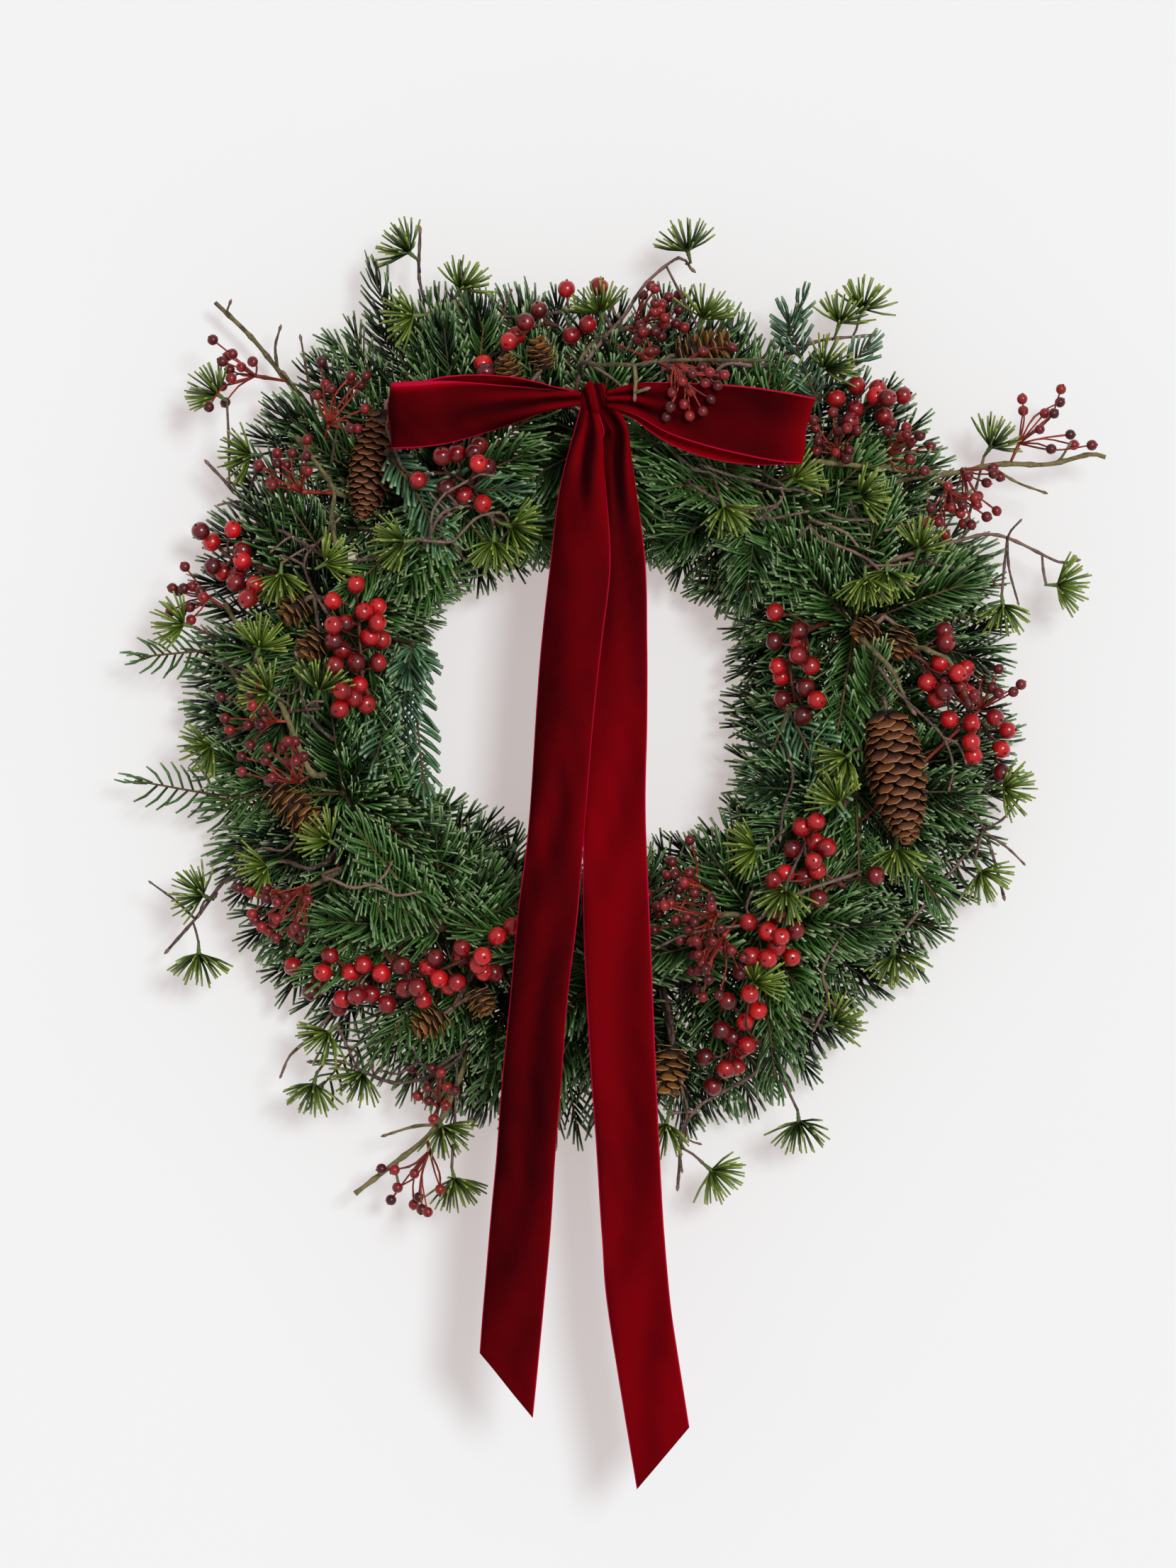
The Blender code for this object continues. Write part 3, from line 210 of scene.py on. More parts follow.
DUSTY_TWIGS = {
    "upper_left": (
        [(470, 690), (455, 640), (440, 580), (395, 525), (350, 470), (299, 421)],
        [((359, 528), (305, 520)), ((463, 597), (490, 545)), ((425, 693), (395, 640))],
        [],
        [((391, 500), (391, 461)), ((312, 438), (320, 424)), ((400, 555), (400, 525)),
         ((448, 595), (423, 477)), ((460, 640), (475, 600))],
    ),
    "left": (
        [(440, 1090), (400, 1000), (345, 900), (315, 850)],
        [((293, 842), (255, 845)), ((390, 1017), (335, 1005)), ((423, 1104), (400, 1055))],
        [],
        [((350, 905), (322, 890)), ((380, 960), (362, 925))],
    ),
    "top": (
        [(820, 506), (855, 470), (894, 459)],
        [((894, 459), (940, 430)), ((950, 520), (985, 562))],
        [((900, 470), (925, 480))],
        [((850, 480), (836, 440))],
    ),
    "right": (
        [(1240, 658), (1331, 667), (1411, 653), (1481, 653), (1540, 639), (1563, 643)],
        [((1250, 640), (1293, 610)), ((1440, 624), (1485, 585)), ((1340, 690), (1358, 728))],
        [((1180, 640), (1172, 618)), ((1360, 660), (1385, 700))],
        [((1411, 655), (1473, 692)), ((1500, 650), (1510, 628)), ((1331, 667), (1310, 700))],
    ),
    "lower_left": (
        [(640, 1540), (610, 1598), (547, 1650), (499, 1687)],
        [((605, 1625), (582, 1688))],
        [((620, 1560), (615, 1530))],
        [((614, 1594), (544, 1603)), ((560, 1640), (560, 1668))],
    ),
    "lower_right": (
        [(1040, 1290), (990, 1290), (960, 1260)],
        [((985, 1245), (940, 1240)), ((1000, 1300), (985, 1345)), ((1385, 1000), (1392, 950))],
        [((1010, 1290), (955, 1290)), ((1020, 1320), (1000, 1370))],
        [((1000, 1290), (1015, 1340))],
    ),
    "left_low": (
        [(460, 1240), (409, 1264)],
        [((409, 1264), (362, 1290))],
        [((430, 1250), (395, 1290))],
        [((430, 1255), (415, 1290))],
    ),
}

TUFT_TWIGS = {
    "top_left": (
        [(857, 447), (750, 442), (695, 442), (615, 433), (591, 395), (591, 323)],
        [((590, 365), (561, 341)), ((640, 420), (655, 395)), ((600, 442), (567, 445)),
         ((852, 457), (842, 418))],
        [],
        [((700, 442), (720, 410)), ((645, 437), (650, 370))],
    ),
    "top": (
        [(820, 522), (881, 442), (912, 396), (958, 360), (975, 375)],
        [((975, 369), (964, 326)), ((985, 465), (998, 436))],
        [],
        [((894, 523), (895, 565)), ((881, 442), (860, 425))],
    ),
    "top_right": (
        [(1020, 514), (1085, 514), (1150, 480), (1230, 470)],
        [((1212, 451), (1226, 415)), ((1150, 530), (1168, 513)), ((1105, 690), (1127, 669)),
         ((1015, 700), (1028, 737))],
        [((1180, 470), (1190, 440))],
        [((1085, 514), (1110, 495))],
    ),
    "right": (
        [(1260, 790), (1348, 763), (1411, 753), (1497, 791), (1519, 789)],
        [((1476, 824), (1508, 825)), ((1415, 835), (1417, 866)), ((1219, 799), (1219, 842)),
         ((1390, 643), (1415, 608)), ((1290, 790), (1301, 765)), ((1196, 705), (1220, 700))],
        [((1250, 790), (1250, 820))],
        [((1411, 753), (1440, 735)), ((1414, 825), (1438, 847))],
    ),
    "right_low": (
        [(1240, 1050), (1330, 1090), (1390, 1150), (1434, 1255)],
        [((1205, 1056), (1186, 1075)), ((1375, 1215), (1391, 1239)), ((1190, 1145), (1177, 1124)),
         ((1265, 1180), (1265, 1216)), ((1083, 1196), (1040, 1198))],
        [((1110, 1240), (1104, 1262)), ((1260, 1330), (1265, 1363)), ((1400, 1110), (1425, 1113))],
        [((1400, 1190), (1445, 1217)), ((1431, 1180), (1437, 1130))],
    ),
    "bottom_right": (
        [(1110, 1440), (1060, 1520), (990, 1560), (965, 1600), (957, 1674)],
        [((1126, 1566), (1129, 1594)), ((990, 1641), (1019, 1666)), ((945, 1570), (936, 1601)),
         ((1160, 1450), (1190, 1437)), ((1050, 1395), (1069, 1380))],
        [],
        [((965, 1600), (985, 1615))],
    ),
    "bottom_left": (
        [(640, 1500), (560, 1530), (480, 1500), (440, 1500)],
        [((446, 1513), (437, 1549)), ((475, 1445), (457, 1463)), ((615, 1575), (630, 1604)),
         ((636, 1647), (642, 1672))],
        [((520, 1500), (500, 1530))],
        [((500, 1505), (495, 1480))],
    ),
    "left_low": (
        [(440, 1225), (393, 1215), (320, 1240), (279, 1290), (235, 1340)],
        [((393, 1215), (356, 1230)), ((278, 1328), (279, 1374)), ((480, 1195), (457, 1178)),
         ((573, 1313), (530, 1285))],
        [((300, 1270), (279, 1261))],
        [((258, 1290), (212, 1247)), ((300, 1262), (279, 1290))],
    ),
    "left": (
        [(448, 1000), (370, 1000), (340, 940), (290, 890)],
        [((448, 992), (460, 946)), ((275, 885), (243, 876)), ((313, 1044), (282, 1060)),
         ((395, 985), (375, 975))],
        [((360, 930), (374, 894))],
        [((340, 940), (300, 930))],
    ),
    "upper_left": (
        [(520, 790), (470, 790), (400, 750), (368, 740), (338, 702), (292, 653)],
        [((445, 804), (478, 787)), ((397, 793), (396, 821)), ((370, 640), (334, 641)),
         ((589, 763), (549, 769)), ((320, 565), (292, 545))],
        [],
        [((338, 702), (310, 710)), ((400, 750), (385, 775))],
    ),
    "upper_inner": (
        [(600, 770), (625, 725), (670, 715), (704, 738)],
        [((698, 747), (695, 790)), ((704, 738), (744, 750))],
        [],
        [((625, 725), (610, 700))],
    ),
}

# The foot and the tip of each cone, and its width, all in pixels.
CONE_PICKS = {
    "big_right": [((1249, 1002), (1282, 1201), 73)],
    "upper_left": [((543, 577), (506, 739), 60)],
    "top_right": [((955, 500), (1035, 480), 55)],
    "top": [((725, 545), (712, 500), 38), ((770, 520), (757, 475), 38)],
    "left": [((430, 850), (400, 872), 46), ((455, 895), (430, 925), 46)],
    "lower_left": [((385, 1110), (450, 1175), 55)],
    "right": [((1235, 880), (1210, 905), 44), ((1275, 885), (1262, 930), 44)],
    "bottom_left": [((625, 1430), (585, 1455), 48), ((670, 1395), (688, 1430), 40)],
    "bottom_right": [((948, 1475), (940, 1545), 55)],
}

# Each tail: its two edges just under the knot, its rows as height, left and right edge in pixels and how far
# forward in mm, the two corners of its end as height, place across and forward, and how deep its fold is.
TAILS = {
    "bow_tail_left": (
        (824, 838),
        [(610, 815, 846, 90), (632, 806, 850, 90), (700, 789, 856, 91), (802, 776, 861, 91),
         (910, 764, 849, 91), (1001, 757, 839, 90), (1160, 747, 825, 90), (1280, 732, 816, 90),
         (1402, 721, 801, 90), (1525, 709, 792, 89), (1632, 701, 783, 88), (1760, 689, 775, 87)],
        ((1902, 678, 86), (1993, 752, 86)), 1.5 * MM,
    ),
    "bow_tail_right": (
        (841, 854),
        [(610, 850, 880, 84), (632, 846, 888, 81), (700, 838, 898, 82), (802, 828, 910, 84),
         (910, 826, 912, 85), (1017, 824, 912, 85), (1160, 823, 910, 84), (1323, 824, 917, 84),
         (1501, 833, 924, 84), (1609, 841, 929, 83), (1740, 849, 936, 82), (1858, 860, 948, 84)],
        ((2094, 898, 82), (2007, 971, 84)), -1.5 * MM,
    ),
}

# Each loop: its side of the knot, its rows from the knot outwards as their place across, top and bottom edge,
# its end, and how far its rear rises, all in pixels. Its root lies against the knot's side.
LOOP_ROOT = (556, 577)
LOOPS = {
    "bow_loop_left": (
        -1, [(780, 554, 584), (735, 550, 600), (685, 546, 616), (635, 543, 630), (590, 543, 636)],
        (556, 545, 637), 14,
    ),
    "bow_loop_right": (
        1, [(893, 546, 588), (943, 545, 616), (1000, 547, 635), (1060, 552, 648), (1110, 560, 656)],
        (1140, 566, 658), -8,
    ),
}


def place(pixel, forward):
    """The point at a pixel of the reference view, this far forward of the ring's own plane."""
    across, up = (pixel[0] - CENTRE_PIXEL[0]) * PIXEL, (CENTRE_PIXEL[1] - pixel[1]) * PIXEL
    return CENTRE + Vector((across, -forward, up))


def polar(angle, distance, forward):
    return CENTRE + Vector((math.cos(angle) * distance, -forward, math.sin(angle) * distance))


def angle_of(point):
    """How far round the wreath a point lies, from +X."""
    flat = point - CENTRE
    return math.atan2(flat.z, flat.x)


def way_to(start, end):
    return (end - start).normalized()


def either(reach):
    """A random number, as likely below nought as above it."""
    return rng.uniform(-reach, reach)


def beside_axis(axis, turn):
    """A direction square to an axis, turned round it."""
    return Quaternion(axis, turn) @ axis.orthogonal().normalized()


def leaning(axis, out, lean):
    """The way that leans out from an axis by so many degrees."""
    lean = math.radians(lean)
    return axis * math.cos(lean) + out * math.sin(lean)


def foliage_forward(pixel):
    """How far forward the foliage swells at a pixel: most over the ring, less at both its edges."""
    distance = math.dist(pixel, CENTRE_PIXEL) * PIXEL
    swell = math.exp(-(((distance - RING_RADIUS) / FOLIAGE_SPREAD) ** 2))
    return FOLIAGE_EDGE_FORWARD + (FOLIAGE_CROWN_FORWARD - FOLIAGE_EDGE_FORWARD) * swell


def rod_distances(start, end, starts, ends):
    """The distance from one segment to each of many, by their closest points."""
    along = end - start
    others = ends - starts
    apart = start - starts
    length = along @ along + 1e-12
    lengths = np.einsum("ij,ij->i", others, others) + 1e-12
    across = others @ along
    offset = apart @ along
    offsets = np.einsum("ij,ij->i", others, apart)
    spread = length * lengths - across * across
    s = np.clip((across * offsets - offset * lengths) / np.maximum(spread, 1e-14), 0, 1)
    t = np.clip((across * s + offsets) / lengths, 0, 1)
    s = np.clip((across * t - offset) / length, 0, 1)
    gaps = (start + s[:, None] * along) - (starts + t[:, None] * others)
    return np.sqrt(np.einsum("ij,ij->i", gaps, gaps))


class Room:
    """The space already taken, as rounded rods, each with the number of the piece that owns it."""

    def __init__(self):
        self.starts, self.ends = np.zeros((0, 3)), np.zeros((0, 3))
        self.radii, self.owners = np.zeros(0), np.zeros(0, int)

    def take(self, owner, rods):
        if rods:
            self.starts = np.vstack([self.starts, [tuple(rod[0]) for rod in rods]])
            self.ends = np.vstack([self.ends, [tuple(rod[1]) for rod in rods]])
            self.radii = np.append(self.radii, [rod[2] for rod in rods])
            self.owners = np.append(self.owners, [owner] * len(rods))

    def free(self, chosen, start, end):
        """The room between a line and the nearest of the chosen rods."""
        if not chosen.any():
            return 1.0
        near = rod_distances(np.array(start), np.array(end), self.starts[chosen], self.ends[chosen])
        return float((near - self.radii[chosen]).min())

    def clear(self, owner, rods):
        """Whether rods miss every other piece, and the ring's tube as well."""
        others = self.owners != owner
        return all(
            min(self.free(others, start, end), ring_gap(start, end)) >= radius + CLEARANCE
            for start, end, radius in rods
        )


def ring_gap(start, end):
    """The room between a line and the ring's tube."""
    steps = np.linspace(0, 1, 7)[:, None]
    points = np.array(start) * (1 - steps) + np.array(end) * steps - np.array(CENTRE)
    from_axis = np.hypot(points[:, 0], points[:, 2]) - RING_RADIUS
    return float(np.hypot(from_axis, points[:, 1]).min() - RING_TUBE * (1 + RING_RELIEF))


def curve_at(a, b, c, d, t):
    """A point between b and c, a share t of the way, on a smooth curve through all four."""
    bent = (2 * a - 5 * b + 4 * c - d) * t * t
    return 0.5 * (2 * b + (c - a) * t + bent + (3 * b - a - 3 * c + d) * t ** 3)


def smooth(points, step):
    """Points about a step apart on a smooth curve through the given ones."""
    ends = [points[0] * 2 - points[1], *points, points[-1] * 2 - points[-2]]
    curve = [points[0]]
    for a, b, c, d in zip(ends, ends[1:], ends[2:], ends[3:]):
        count = max(1, round((c - b).length / step))
        curve += [curve_at(a, b, c, d, k / count) for k in range(1, count + 1)]
    return curve


def rods_of(points, radius):
    return [(a, b, radius) for a, b in zip(points, points[1:])]


def extend(bm, face, centre, direction, radius):
    """Extrudes a face to a new centre, turned to a direction and brought to a radius."""
    face.normal_update()
    middle = face.calc_center_median()
    turn = face.normal.rotation_difference(direction)
    now = sum((vert.co - middle).length for vert in face.verts) / len(face.verts)
    grown = bmesh.ops.extrude_discrete_faces(bm, faces=[face])["faces"][0]
    for vert in grown.verts:
        vert.co = centre + turn @ (vert.co - middle) * (radius / now)
    grown.normal_update()
    return grown


def upright_to(way, spin=0.0):
    """The turn that points a form's +Z along a way, after a spin about its own line."""
    turned = Vector((0, 0, 1)).rotation_difference(way)
    return (turned @ Quaternion((0, 0, 1), spin)).to_matrix().to_4x4()


def stem(points, radii, sides):
    """A closed stem along the points, grown section by section, as a bmesh."""
    bm = bmesh.new()
    axis = way_to(*points[:2])
    bmesh.ops.create_cone(
        bm, cap_ends=True, segments=sides, radius1=radii[0], radius2=radii[1],
        depth=(points[1] - points[0]).length,
        matrix=Matrix.Translation((points[0] + points[1]) / 2) @ upright_to(axis),
    )
    bm.normal_update()
    face = max(bm.faces, key=lambda face: face.normal @ axis)
    for index in range(2, len(points)):
        before = way_to(points[index - 1], points[index])
        after = way_to(points[index - 1], points[min(index + 1, len(points) - 1)])
        face = extend(bm, face, points[index], (before + after).normalized(), radii[index])
    return bm


def seat(target, turn, roll, radius):
    """Where a stem leaves the ring: a point whose round end just clears the ring's face, and the way out."""
    angle = angle_of(target) + turn
    core = CENTRE + Vector((math.cos(angle), 0, math.sin(angle))) * RING_RADIUS
    tangent = Vector((-math.sin(angle), 0, math.cos(angle)))
    toward = target - core
    toward = Quaternion(tangent, roll) @ (toward - tangent * (toward @ tangent)).normalized()
    hit, way, _, _ = ring_surface.ray_cast(core + toward * RING_TUBE * 3, -toward)
    raised = 0.0
    for k in range(8):
        rim = beside_axis(way, math.tau * k / 8) * radius
        _, _, _, depth = ring_surface.ray_cast(hit + rim + way * RING_TUBE, -way)
        if depth is not None:
            raised = max(raised, RING_TUBE - depth)
    return hit + way * (TOUCH_GAP + raised), way


def find_stem(piece, points, radius):
    """A clear way from a seat on the ring along the given points, which may all move back or forward."""
    for attempt in range(STEM_TRIES):
        widen = min(1.0, attempt / 60)
        stray = max(0.0, attempt - STRAY_AFTER) / (STEM_TRIES - STRAY_AFTER) * STRAY_REACH
        shift = Vector((0, rng.uniform(-16, 18) * MM * widen, 0))
        moved = [point + shift + Vector([either(1) * stray for _ in range(3)]) for point in points]
        start, way = seat(moved[0], either(0.2) * widen, either(1.3) * widen, radius)
        leave = start + way * 5 * MM
        reach = moved[0] - leave
        if reach.length < 6 * MM or (way @ reach.normalized()) < -0.3:
            continue
        path = smooth([start, leave] + moved, STEM_STEP)
        rods = rods_of(path, radius)
        first_free = room.free(room.owners != piece.owner, path[0], path[1])
        if first_free > radius + CLEARANCE and room.clear(piece.owner, rods[1:]):
            room.take(piece.owner, rods)
            return path
    raise RuntimeError(f"{piece.name} found no way from the ring")


def join_point(path, point):
    """The place on a stem that a side twig leaves from, a little before the point's nearest place."""
    runs = [(a, b, (b - a).length) for a, b in zip(path, path[1:])]
    reached = 0.0
    near = []
    for a, b, length in runs:
        share = max(0.0, min(1.0, (point - a) @ (b - a) / length ** 2))
        near.append(((a + (b - a) * share - point).length, reached + share * length))
        reached += length
    apart, along = min(near, key=lambda pair: pair[0])
    wanted = max(9 * MM, min(reached - 1 * MM, along - 0.45 * apart))
    for a, b, length in runs:
        if wanted <= length:
            return a + (b - a) * max(0.15, min(0.85, wanted / length))
        wanted -= length
    return path[-1]


class Piece:
    """One node of the wreath, with the plan of what grows on it."""

    count = 0

    def __init__(self, name, more=()):
        Piece.count += 1
        self.name, self.owner, self.more = name, Piece.count, more
        self.path, self.berries, self.heads, self.tufts, self.cones, self.curves = ([] for _ in range(6))


def add_berries(piece, pixels, filling=False):
    """A bunch's berries; those that only fill it in may cross stalks, but not one another."""
    for pixel in pixels:
        forward = foliage_forward(pixel) + rng.uniform(2, 12 if filling else 10) * MM
        for shift in DEPTH_SHIFTS:
            centre = place(pixel, forward + shift)
            foot = join_point(piece.path, centre)
            rods = [(centre, centre, BIG_BERRY_RADIUS)]
            own = room.owners == piece.owner
            if filling:
                fits = apart(centre, [berry for _, berry in piece.berries]) >= BIG_BERRY_RADIUS * 1.86
                fits = fits and room.free(~own, centre, centre) > BIG_BERRY_RADIUS
            else:
                rods.append((foot, centre, BERRY_STEM * 1.1))
                crowded = room.free(own, centre, centre) < BIG_BERRY_RADIUS * 0.8
                fits = not crowded and room.clear(piece.owner, rods)
            if fits:
                room.take(piece.owner, rods)
                piece.berries.append((foot, centre))
                break


def head_way(hub_pixel, middle_pixel):
    """Which way a head of berries points, and how far its middle lies from its hub."""
    axis = way_to(place(hub_pixel, 0), place(middle_pixel, 12 * MM))
    return axis, (place(middle_pixel, 0) - place(hub_pixel, 0)).length


def add_heads(piece, heads):
    """Heads of small berries, each on thin stems that spread from one hub."""
    for pixels in heads:
        for shift in DEPTH_SHIFTS:
            hub = place(pixels[0], foliage_forward(pixels[0]) + 6 * MM + shift)
            foot = join_point(piece.path, hub)
            stalk = [(foot, hub, HUB_RADIUS * 0.85)]
            if room.clear(piece.owner, stalk):
                break
        else:
            continue
        room.take(piece.owner, stalk)
        axis, reach = head_way(*pixels)
        spots = []
        for index in range(HEAD_BERRIES):
            turn = index * 2.4 + either(0.3)
            spread = math.sqrt((index + 0.5) / HEAD_BERRIES)
            for attempt in range(12):
                lean = HEAD_LEAN[0] + HEAD_LEAN[1] * spread + either(8) * attempt / 3
                way = leaning(axis, beside_axis(axis, turn + 0.3 * attempt), lean)
                spot = hub + way * reach * rng.uniform(0.85, 1.25)
                rods = [(spot, spot, SMALL_BERRY_RADIUS * 1.1), (hub, spot, HEAD_STEM)]
                if room.free(room.owners == piece.owner, spot, spot) < rods[0][2] + CLEARANCE:
                    continue
                if room.clear(piece.owner, rods):
                    room.take(piece.owner, rods)
                    spots.append(spot)
                    break
        piece.heads.append((foot, hub, axis, reach, spots))


def add_tufts(piece, tufts, filling=False):
    """The side twigs that end in tufts; those that only fill in keep room for their needles too."""
    for foot_pixel, middle_pixel in tufts:
        for shift in DEPTH_SHIFTS:
            forward = foliage_forward(foot_pixel) + 8 * MM + shift
            foot = place(foot_pixel, forward)
            middle = place(middle_pixel, forward + (5 if filling else 4) * MM)
            axis = way_to(foot, middle)
            mouth = foot + axis * SOCKET_LENGTH
            start = join_point(piece.path, foot)
            needles = (mouth, mouth + axis * 8 * MM, 3 * MM)
            rods = [(foot, needles[1], 3 * MM)] if filling else [(foot, mouth, SOCKET_RADIUS)]
            if not filling and (foot - start).length > 2 * MM:
                rods.append((start, foot, TUFT_STEM * 0.7))
            if room.clear(piece.owner, rods if filling else rods + [needles]):
                room.take(piece.owner, rods)
                piece.tufts.append((start, foot, middle))
                break


def sheet_rods(rows):
    lines = [pair for upper, lower in zip(rows, rows[1:]) for pair in zip(upper, lower)]
    lines += [pair for row in rows for pair in zip(row, row[1:])]
    return [(*pair, RIBBON_ROD) for pair in lines]


def spaced(start, end):
    """A strip's columns, evenly from one edge to the other."""
    return [start + (end - start) * k / (COLUMNS - 1) for k in range(COLUMNS)]


def knot_edge(size):
    """Half the knot's size and the gap a seated piece keeps, in pixels."""
    return (size / 2 + TOUCH_GAP) / PIXEL


def tail_rows(tops, rows, end, fold):
    """A hanging tail: gathered by folds at the knot, which open out below, and cut slantwise."""
    made = []
    for height, left, right, forward in [(KNOT_PIXEL[1] + knot_edge(KNOT_SIZE[2]), *tops, BOW_DEPTH)] + rows:
        narrow = max(0.0, 1 - (right - left) * PIXEL / RIBBON_WIDTH)
        row = []
        for k, across in enumerate(spaced(left, right)):
            ripple = math.cos(k * math.pi) * narrow * 3 * MM + fold * math.sin(math.pi * k / (COLUMNS - 1))
            row.append(place((across, height), forward * MM + ripple))
        made.append(row)
    columns = zip(*[spaced(first, last) for first, last in zip(*end)])
    return made + [[place((across, height), forward * MM) for height, across, forward in columns]]


def loop_rows(side, rows, end, lift):
    """A bow loop: out along its front, round its end and back along its rear, a little higher there."""
    rows = [(KNOT_PIXEL[0] + side * knot_edge(KNOT_SIZE[0]), *LOOP_ROOT)] + rows
    made = []
    for layer in (1, -1):
        for index, (across, top, bottom) in enumerate(rows[::layer]):
            out = index / (len(rows) - 1)
            if layer == -1:
                out = 1 - out
            raised = lift * math.sin(math.pi * out) if layer == -1 else 0
            gap = LOOP_HALF_GAP * (0.28 + 0.72 * out)
            narrow = max(0.0, 1 - (bottom - top) * PIXEL / RIBBON_WIDTH)
            row = []
            for k, height in enumerate(spaced(top, bottom)):
                ripple = layer * math.sin(math.pi * k / (COLUMNS - 1)) * narrow * 5 * MM
                row.append(place((across, height - raised), BOW_FORWARD + layer * gap + ripple))
            made.append(row)
        for turn in (0.55, -0.55) if layer == 1 else ():
            forward = BOW_FORWARD + turn * LOOP_HALF_GAP
            made.append([place((end[0], height), forward) for height in spaced(*end[1:])])
    return made


def ring_form():
    """The ring's relief, as the solid has it, to cast rays at."""
    bpy.ops.mesh.primitive_torus_add(
        major_segments=RING_STEPS[0], minor_segments=RING_STEPS[1],
        major_radius=RING_RADIUS, minor_radius=RING_TUBE,
    )
    ring = bpy.context.object
    for vert in ring.data.vertices:
        angle = math.atan2(vert.co.y, vert.co.x)
        core = Vector((math.cos(angle), math.sin(angle), 0)) * RING_RADIUS
        out = vert.co - core
        around = math.atan2(out.z, out.to_2d().dot(core.to_2d().normalized()))
        vert.co = core + out * (1 + RING_RELIEF * math.cos(RING_STRANDS * around + RING_TWISTS * angle))
    ring.data.transform(RING_UPRIGHT)
    flat = bmesh.new()
    flat.from_mesh(ring.data)
    bmesh.ops.triangulate(flat, faces=flat.faces)
    surface = BVHTree.FromBMesh(flat)
    flat.free()
    bpy.data.objects.remove(ring)
    return surface


def plan_bow():
    knot = Piece("bow_knot")
    middle = place(KNOT_PIXEL, BOW_FORWARD)
    start, way = seat(middle, 0, 0, TIE_RADIUS)
    behind = middle + Vector((0, KNOT_SIZE[1] * 0.2, 0))
    knot.path = smooth([start, start + way * 6 * MM, behind], 20 * MM)
    room.take(knot.owner, rods_of(knot.path, TIE_RADIUS) + [(middle, middle, KNOT_SIZE[2] / 2)])
    pieces = [knot]
    for rows_of, strips in ((tail_rows, TAILS), (loop_rows, LOOPS)):
        for name, strip in strips.items():
            piece = Piece(name)
            piece.rows = rows_of(*strip)
            room.take(piece.owner, sheet_rods(piece.rows))
            pieces.append(piece)
    return pieces


def plan_cones():
    pieces = []
    for name, cones in CONE_PICKS.items():
        piece = Piece("cone_" + name)
        for foot_pixel, tip_pixel, width in cones:
            radius = width * PIXEL / 2
            forward = foliage_forward(foot_pixel) - 4 * MM
            for shift in DEPTH_SHIFTS:
                foot = place(foot_pixel, forward + shift)
                tip = place(tip_pixel, forward + shift + 3 * MM)
                third = (tip - foot) / 3
                rods = [(foot, foot + third * 2, radius), (foot + third * 2, tip, radius * 0.75)]
                if room.clear(piece.owner, rods):
                    break
            room.take(piece.owner, rods)
            piece.cones.append((foot, tip, radius))
        foot, way = piece.cones[0][0], way_to(*piece.cones[0][:2])
        piece.path = find_stem(piece, [foot - way * 7 * MM, foot], CONE_STEM) + [foot + way * 2 * MM]
        pieces.append(piece)
    return pieces


def plan_stemmed(prefix, picks, radius, add_ends):
    """Pieces that are one stem from the ring with ends of some kind on side twigs."""
    pieces = []
    for name, (pixels, ends, *more) in picks.items():
        piece = Piece(prefix + name, more)
        piece.path = find_stem(piece, [place(pixel, foliage_forward(pixel)) for pixel in pixels], radius)
        add_ends(piece, ends)
        pieces.append(piece)
    return pieces


def find_branchlet(piece, hub, tip):
    """A clear, gently bowed way from the hub to about the tip."""
    for attempt in range(240):
        loose = min(1.0, attempt / 60) * 0.3
        length = (tip - hub).length
        moved = tip + Vector([either(1) * loose * length for _ in range(3)])
        sag = Vector((0, either(0.08) * length, either(0.06) * length))
        curve = smooth([hub, (hub + moved) / 2 + sag, moved], 18 * MM)
        crossing = room.free(room.owners == piece.owner, curve[2], curve[-1]) < 4 * MM
        if not crossing and room.clear(piece.owner, rods_of(curve, 1.4 * MM)):
            return curve
    return None


def find_hub(piece, angle, distance, forward):
    for attempt in range(200):
        loose = min(1.0, attempt / 60)
        turned, out = angle + either(0.12) * loose, distance + either(10) * MM * loose
        hub = polar(turned, out, forward + rng.uniform(-4, 14) * MM * loose)
        start, way = seat(hub, 0, 0, SPRAY_STEM)
        knee = start + way * 4 * MM
        others = room.owners != piece.owner
        if min(room.free(others, start, knee), room.free(others, knee, hub)) > SPRAY_STEM + CLEARANCE:
            room.take(piece.owner, rods_of([start, knee, hub], SPRAY_STEM))
            return [start, knee, hub]
    raise RuntimeError(f"{piece.name} found no hub")


def plan_spray(name, angle, distance, forward, tips, more=()):
    piece = Piece(name, more)
    piece.path = find_hub(piece, angle, distance, forward)
    for tip in tips:
        curve = find_branchlet(piece, piece.path[-1], tip)
        if curve:
            room.take(piece.owner, rods_of(curve, 1.2 * MM))
            piece.curves.append(curve)
    return piece


def plan_sprays():
    """The spruce sprays evenly round the ring, some of whose tips reach out alone, then the fir sprays."""
    spruce, fir = [], []
    for index in range(SPRUCE_SPRAYS):
        angle = math.tau * (index + 0.5) / SPRUCE_SPRAYS
        ends = SPRUCE_TIPS + [SPRUCE_FORWARD_TIP] * (index % 2)
        tips = [polar(angle + turn, distance, forward) for turn, distance, forward in ends]
        for tip in [place(pixel, 20 * MM) for pixel in REACHING_TIPS]:
            if abs(math.remainder(angle_of(tip) - angle, math.tau)) < math.pi / SPRUCE_SPRAYS:
                tips[0] = tip
        spruce.append(plan_spray(f"spruce_spray_{index + 1:02d}", angle, *SPRUCE_HUB, tips))
    for name, ((hub_pixel,), tip_pixels, more) in FIR_SPRAYS.items():
        hub = place(hub_pixel, 0)
        tips = [place(pixel, foliage_forward(pixel) + 6 * MM) for pixel in tip_pixels]
        far = (hub - CENTRE).length
        fir.append(plan_spray("fir_spray_" + name, angle_of(hub), far, FIR_HUB_FORWARD, tips, more))
    return spruce, fir


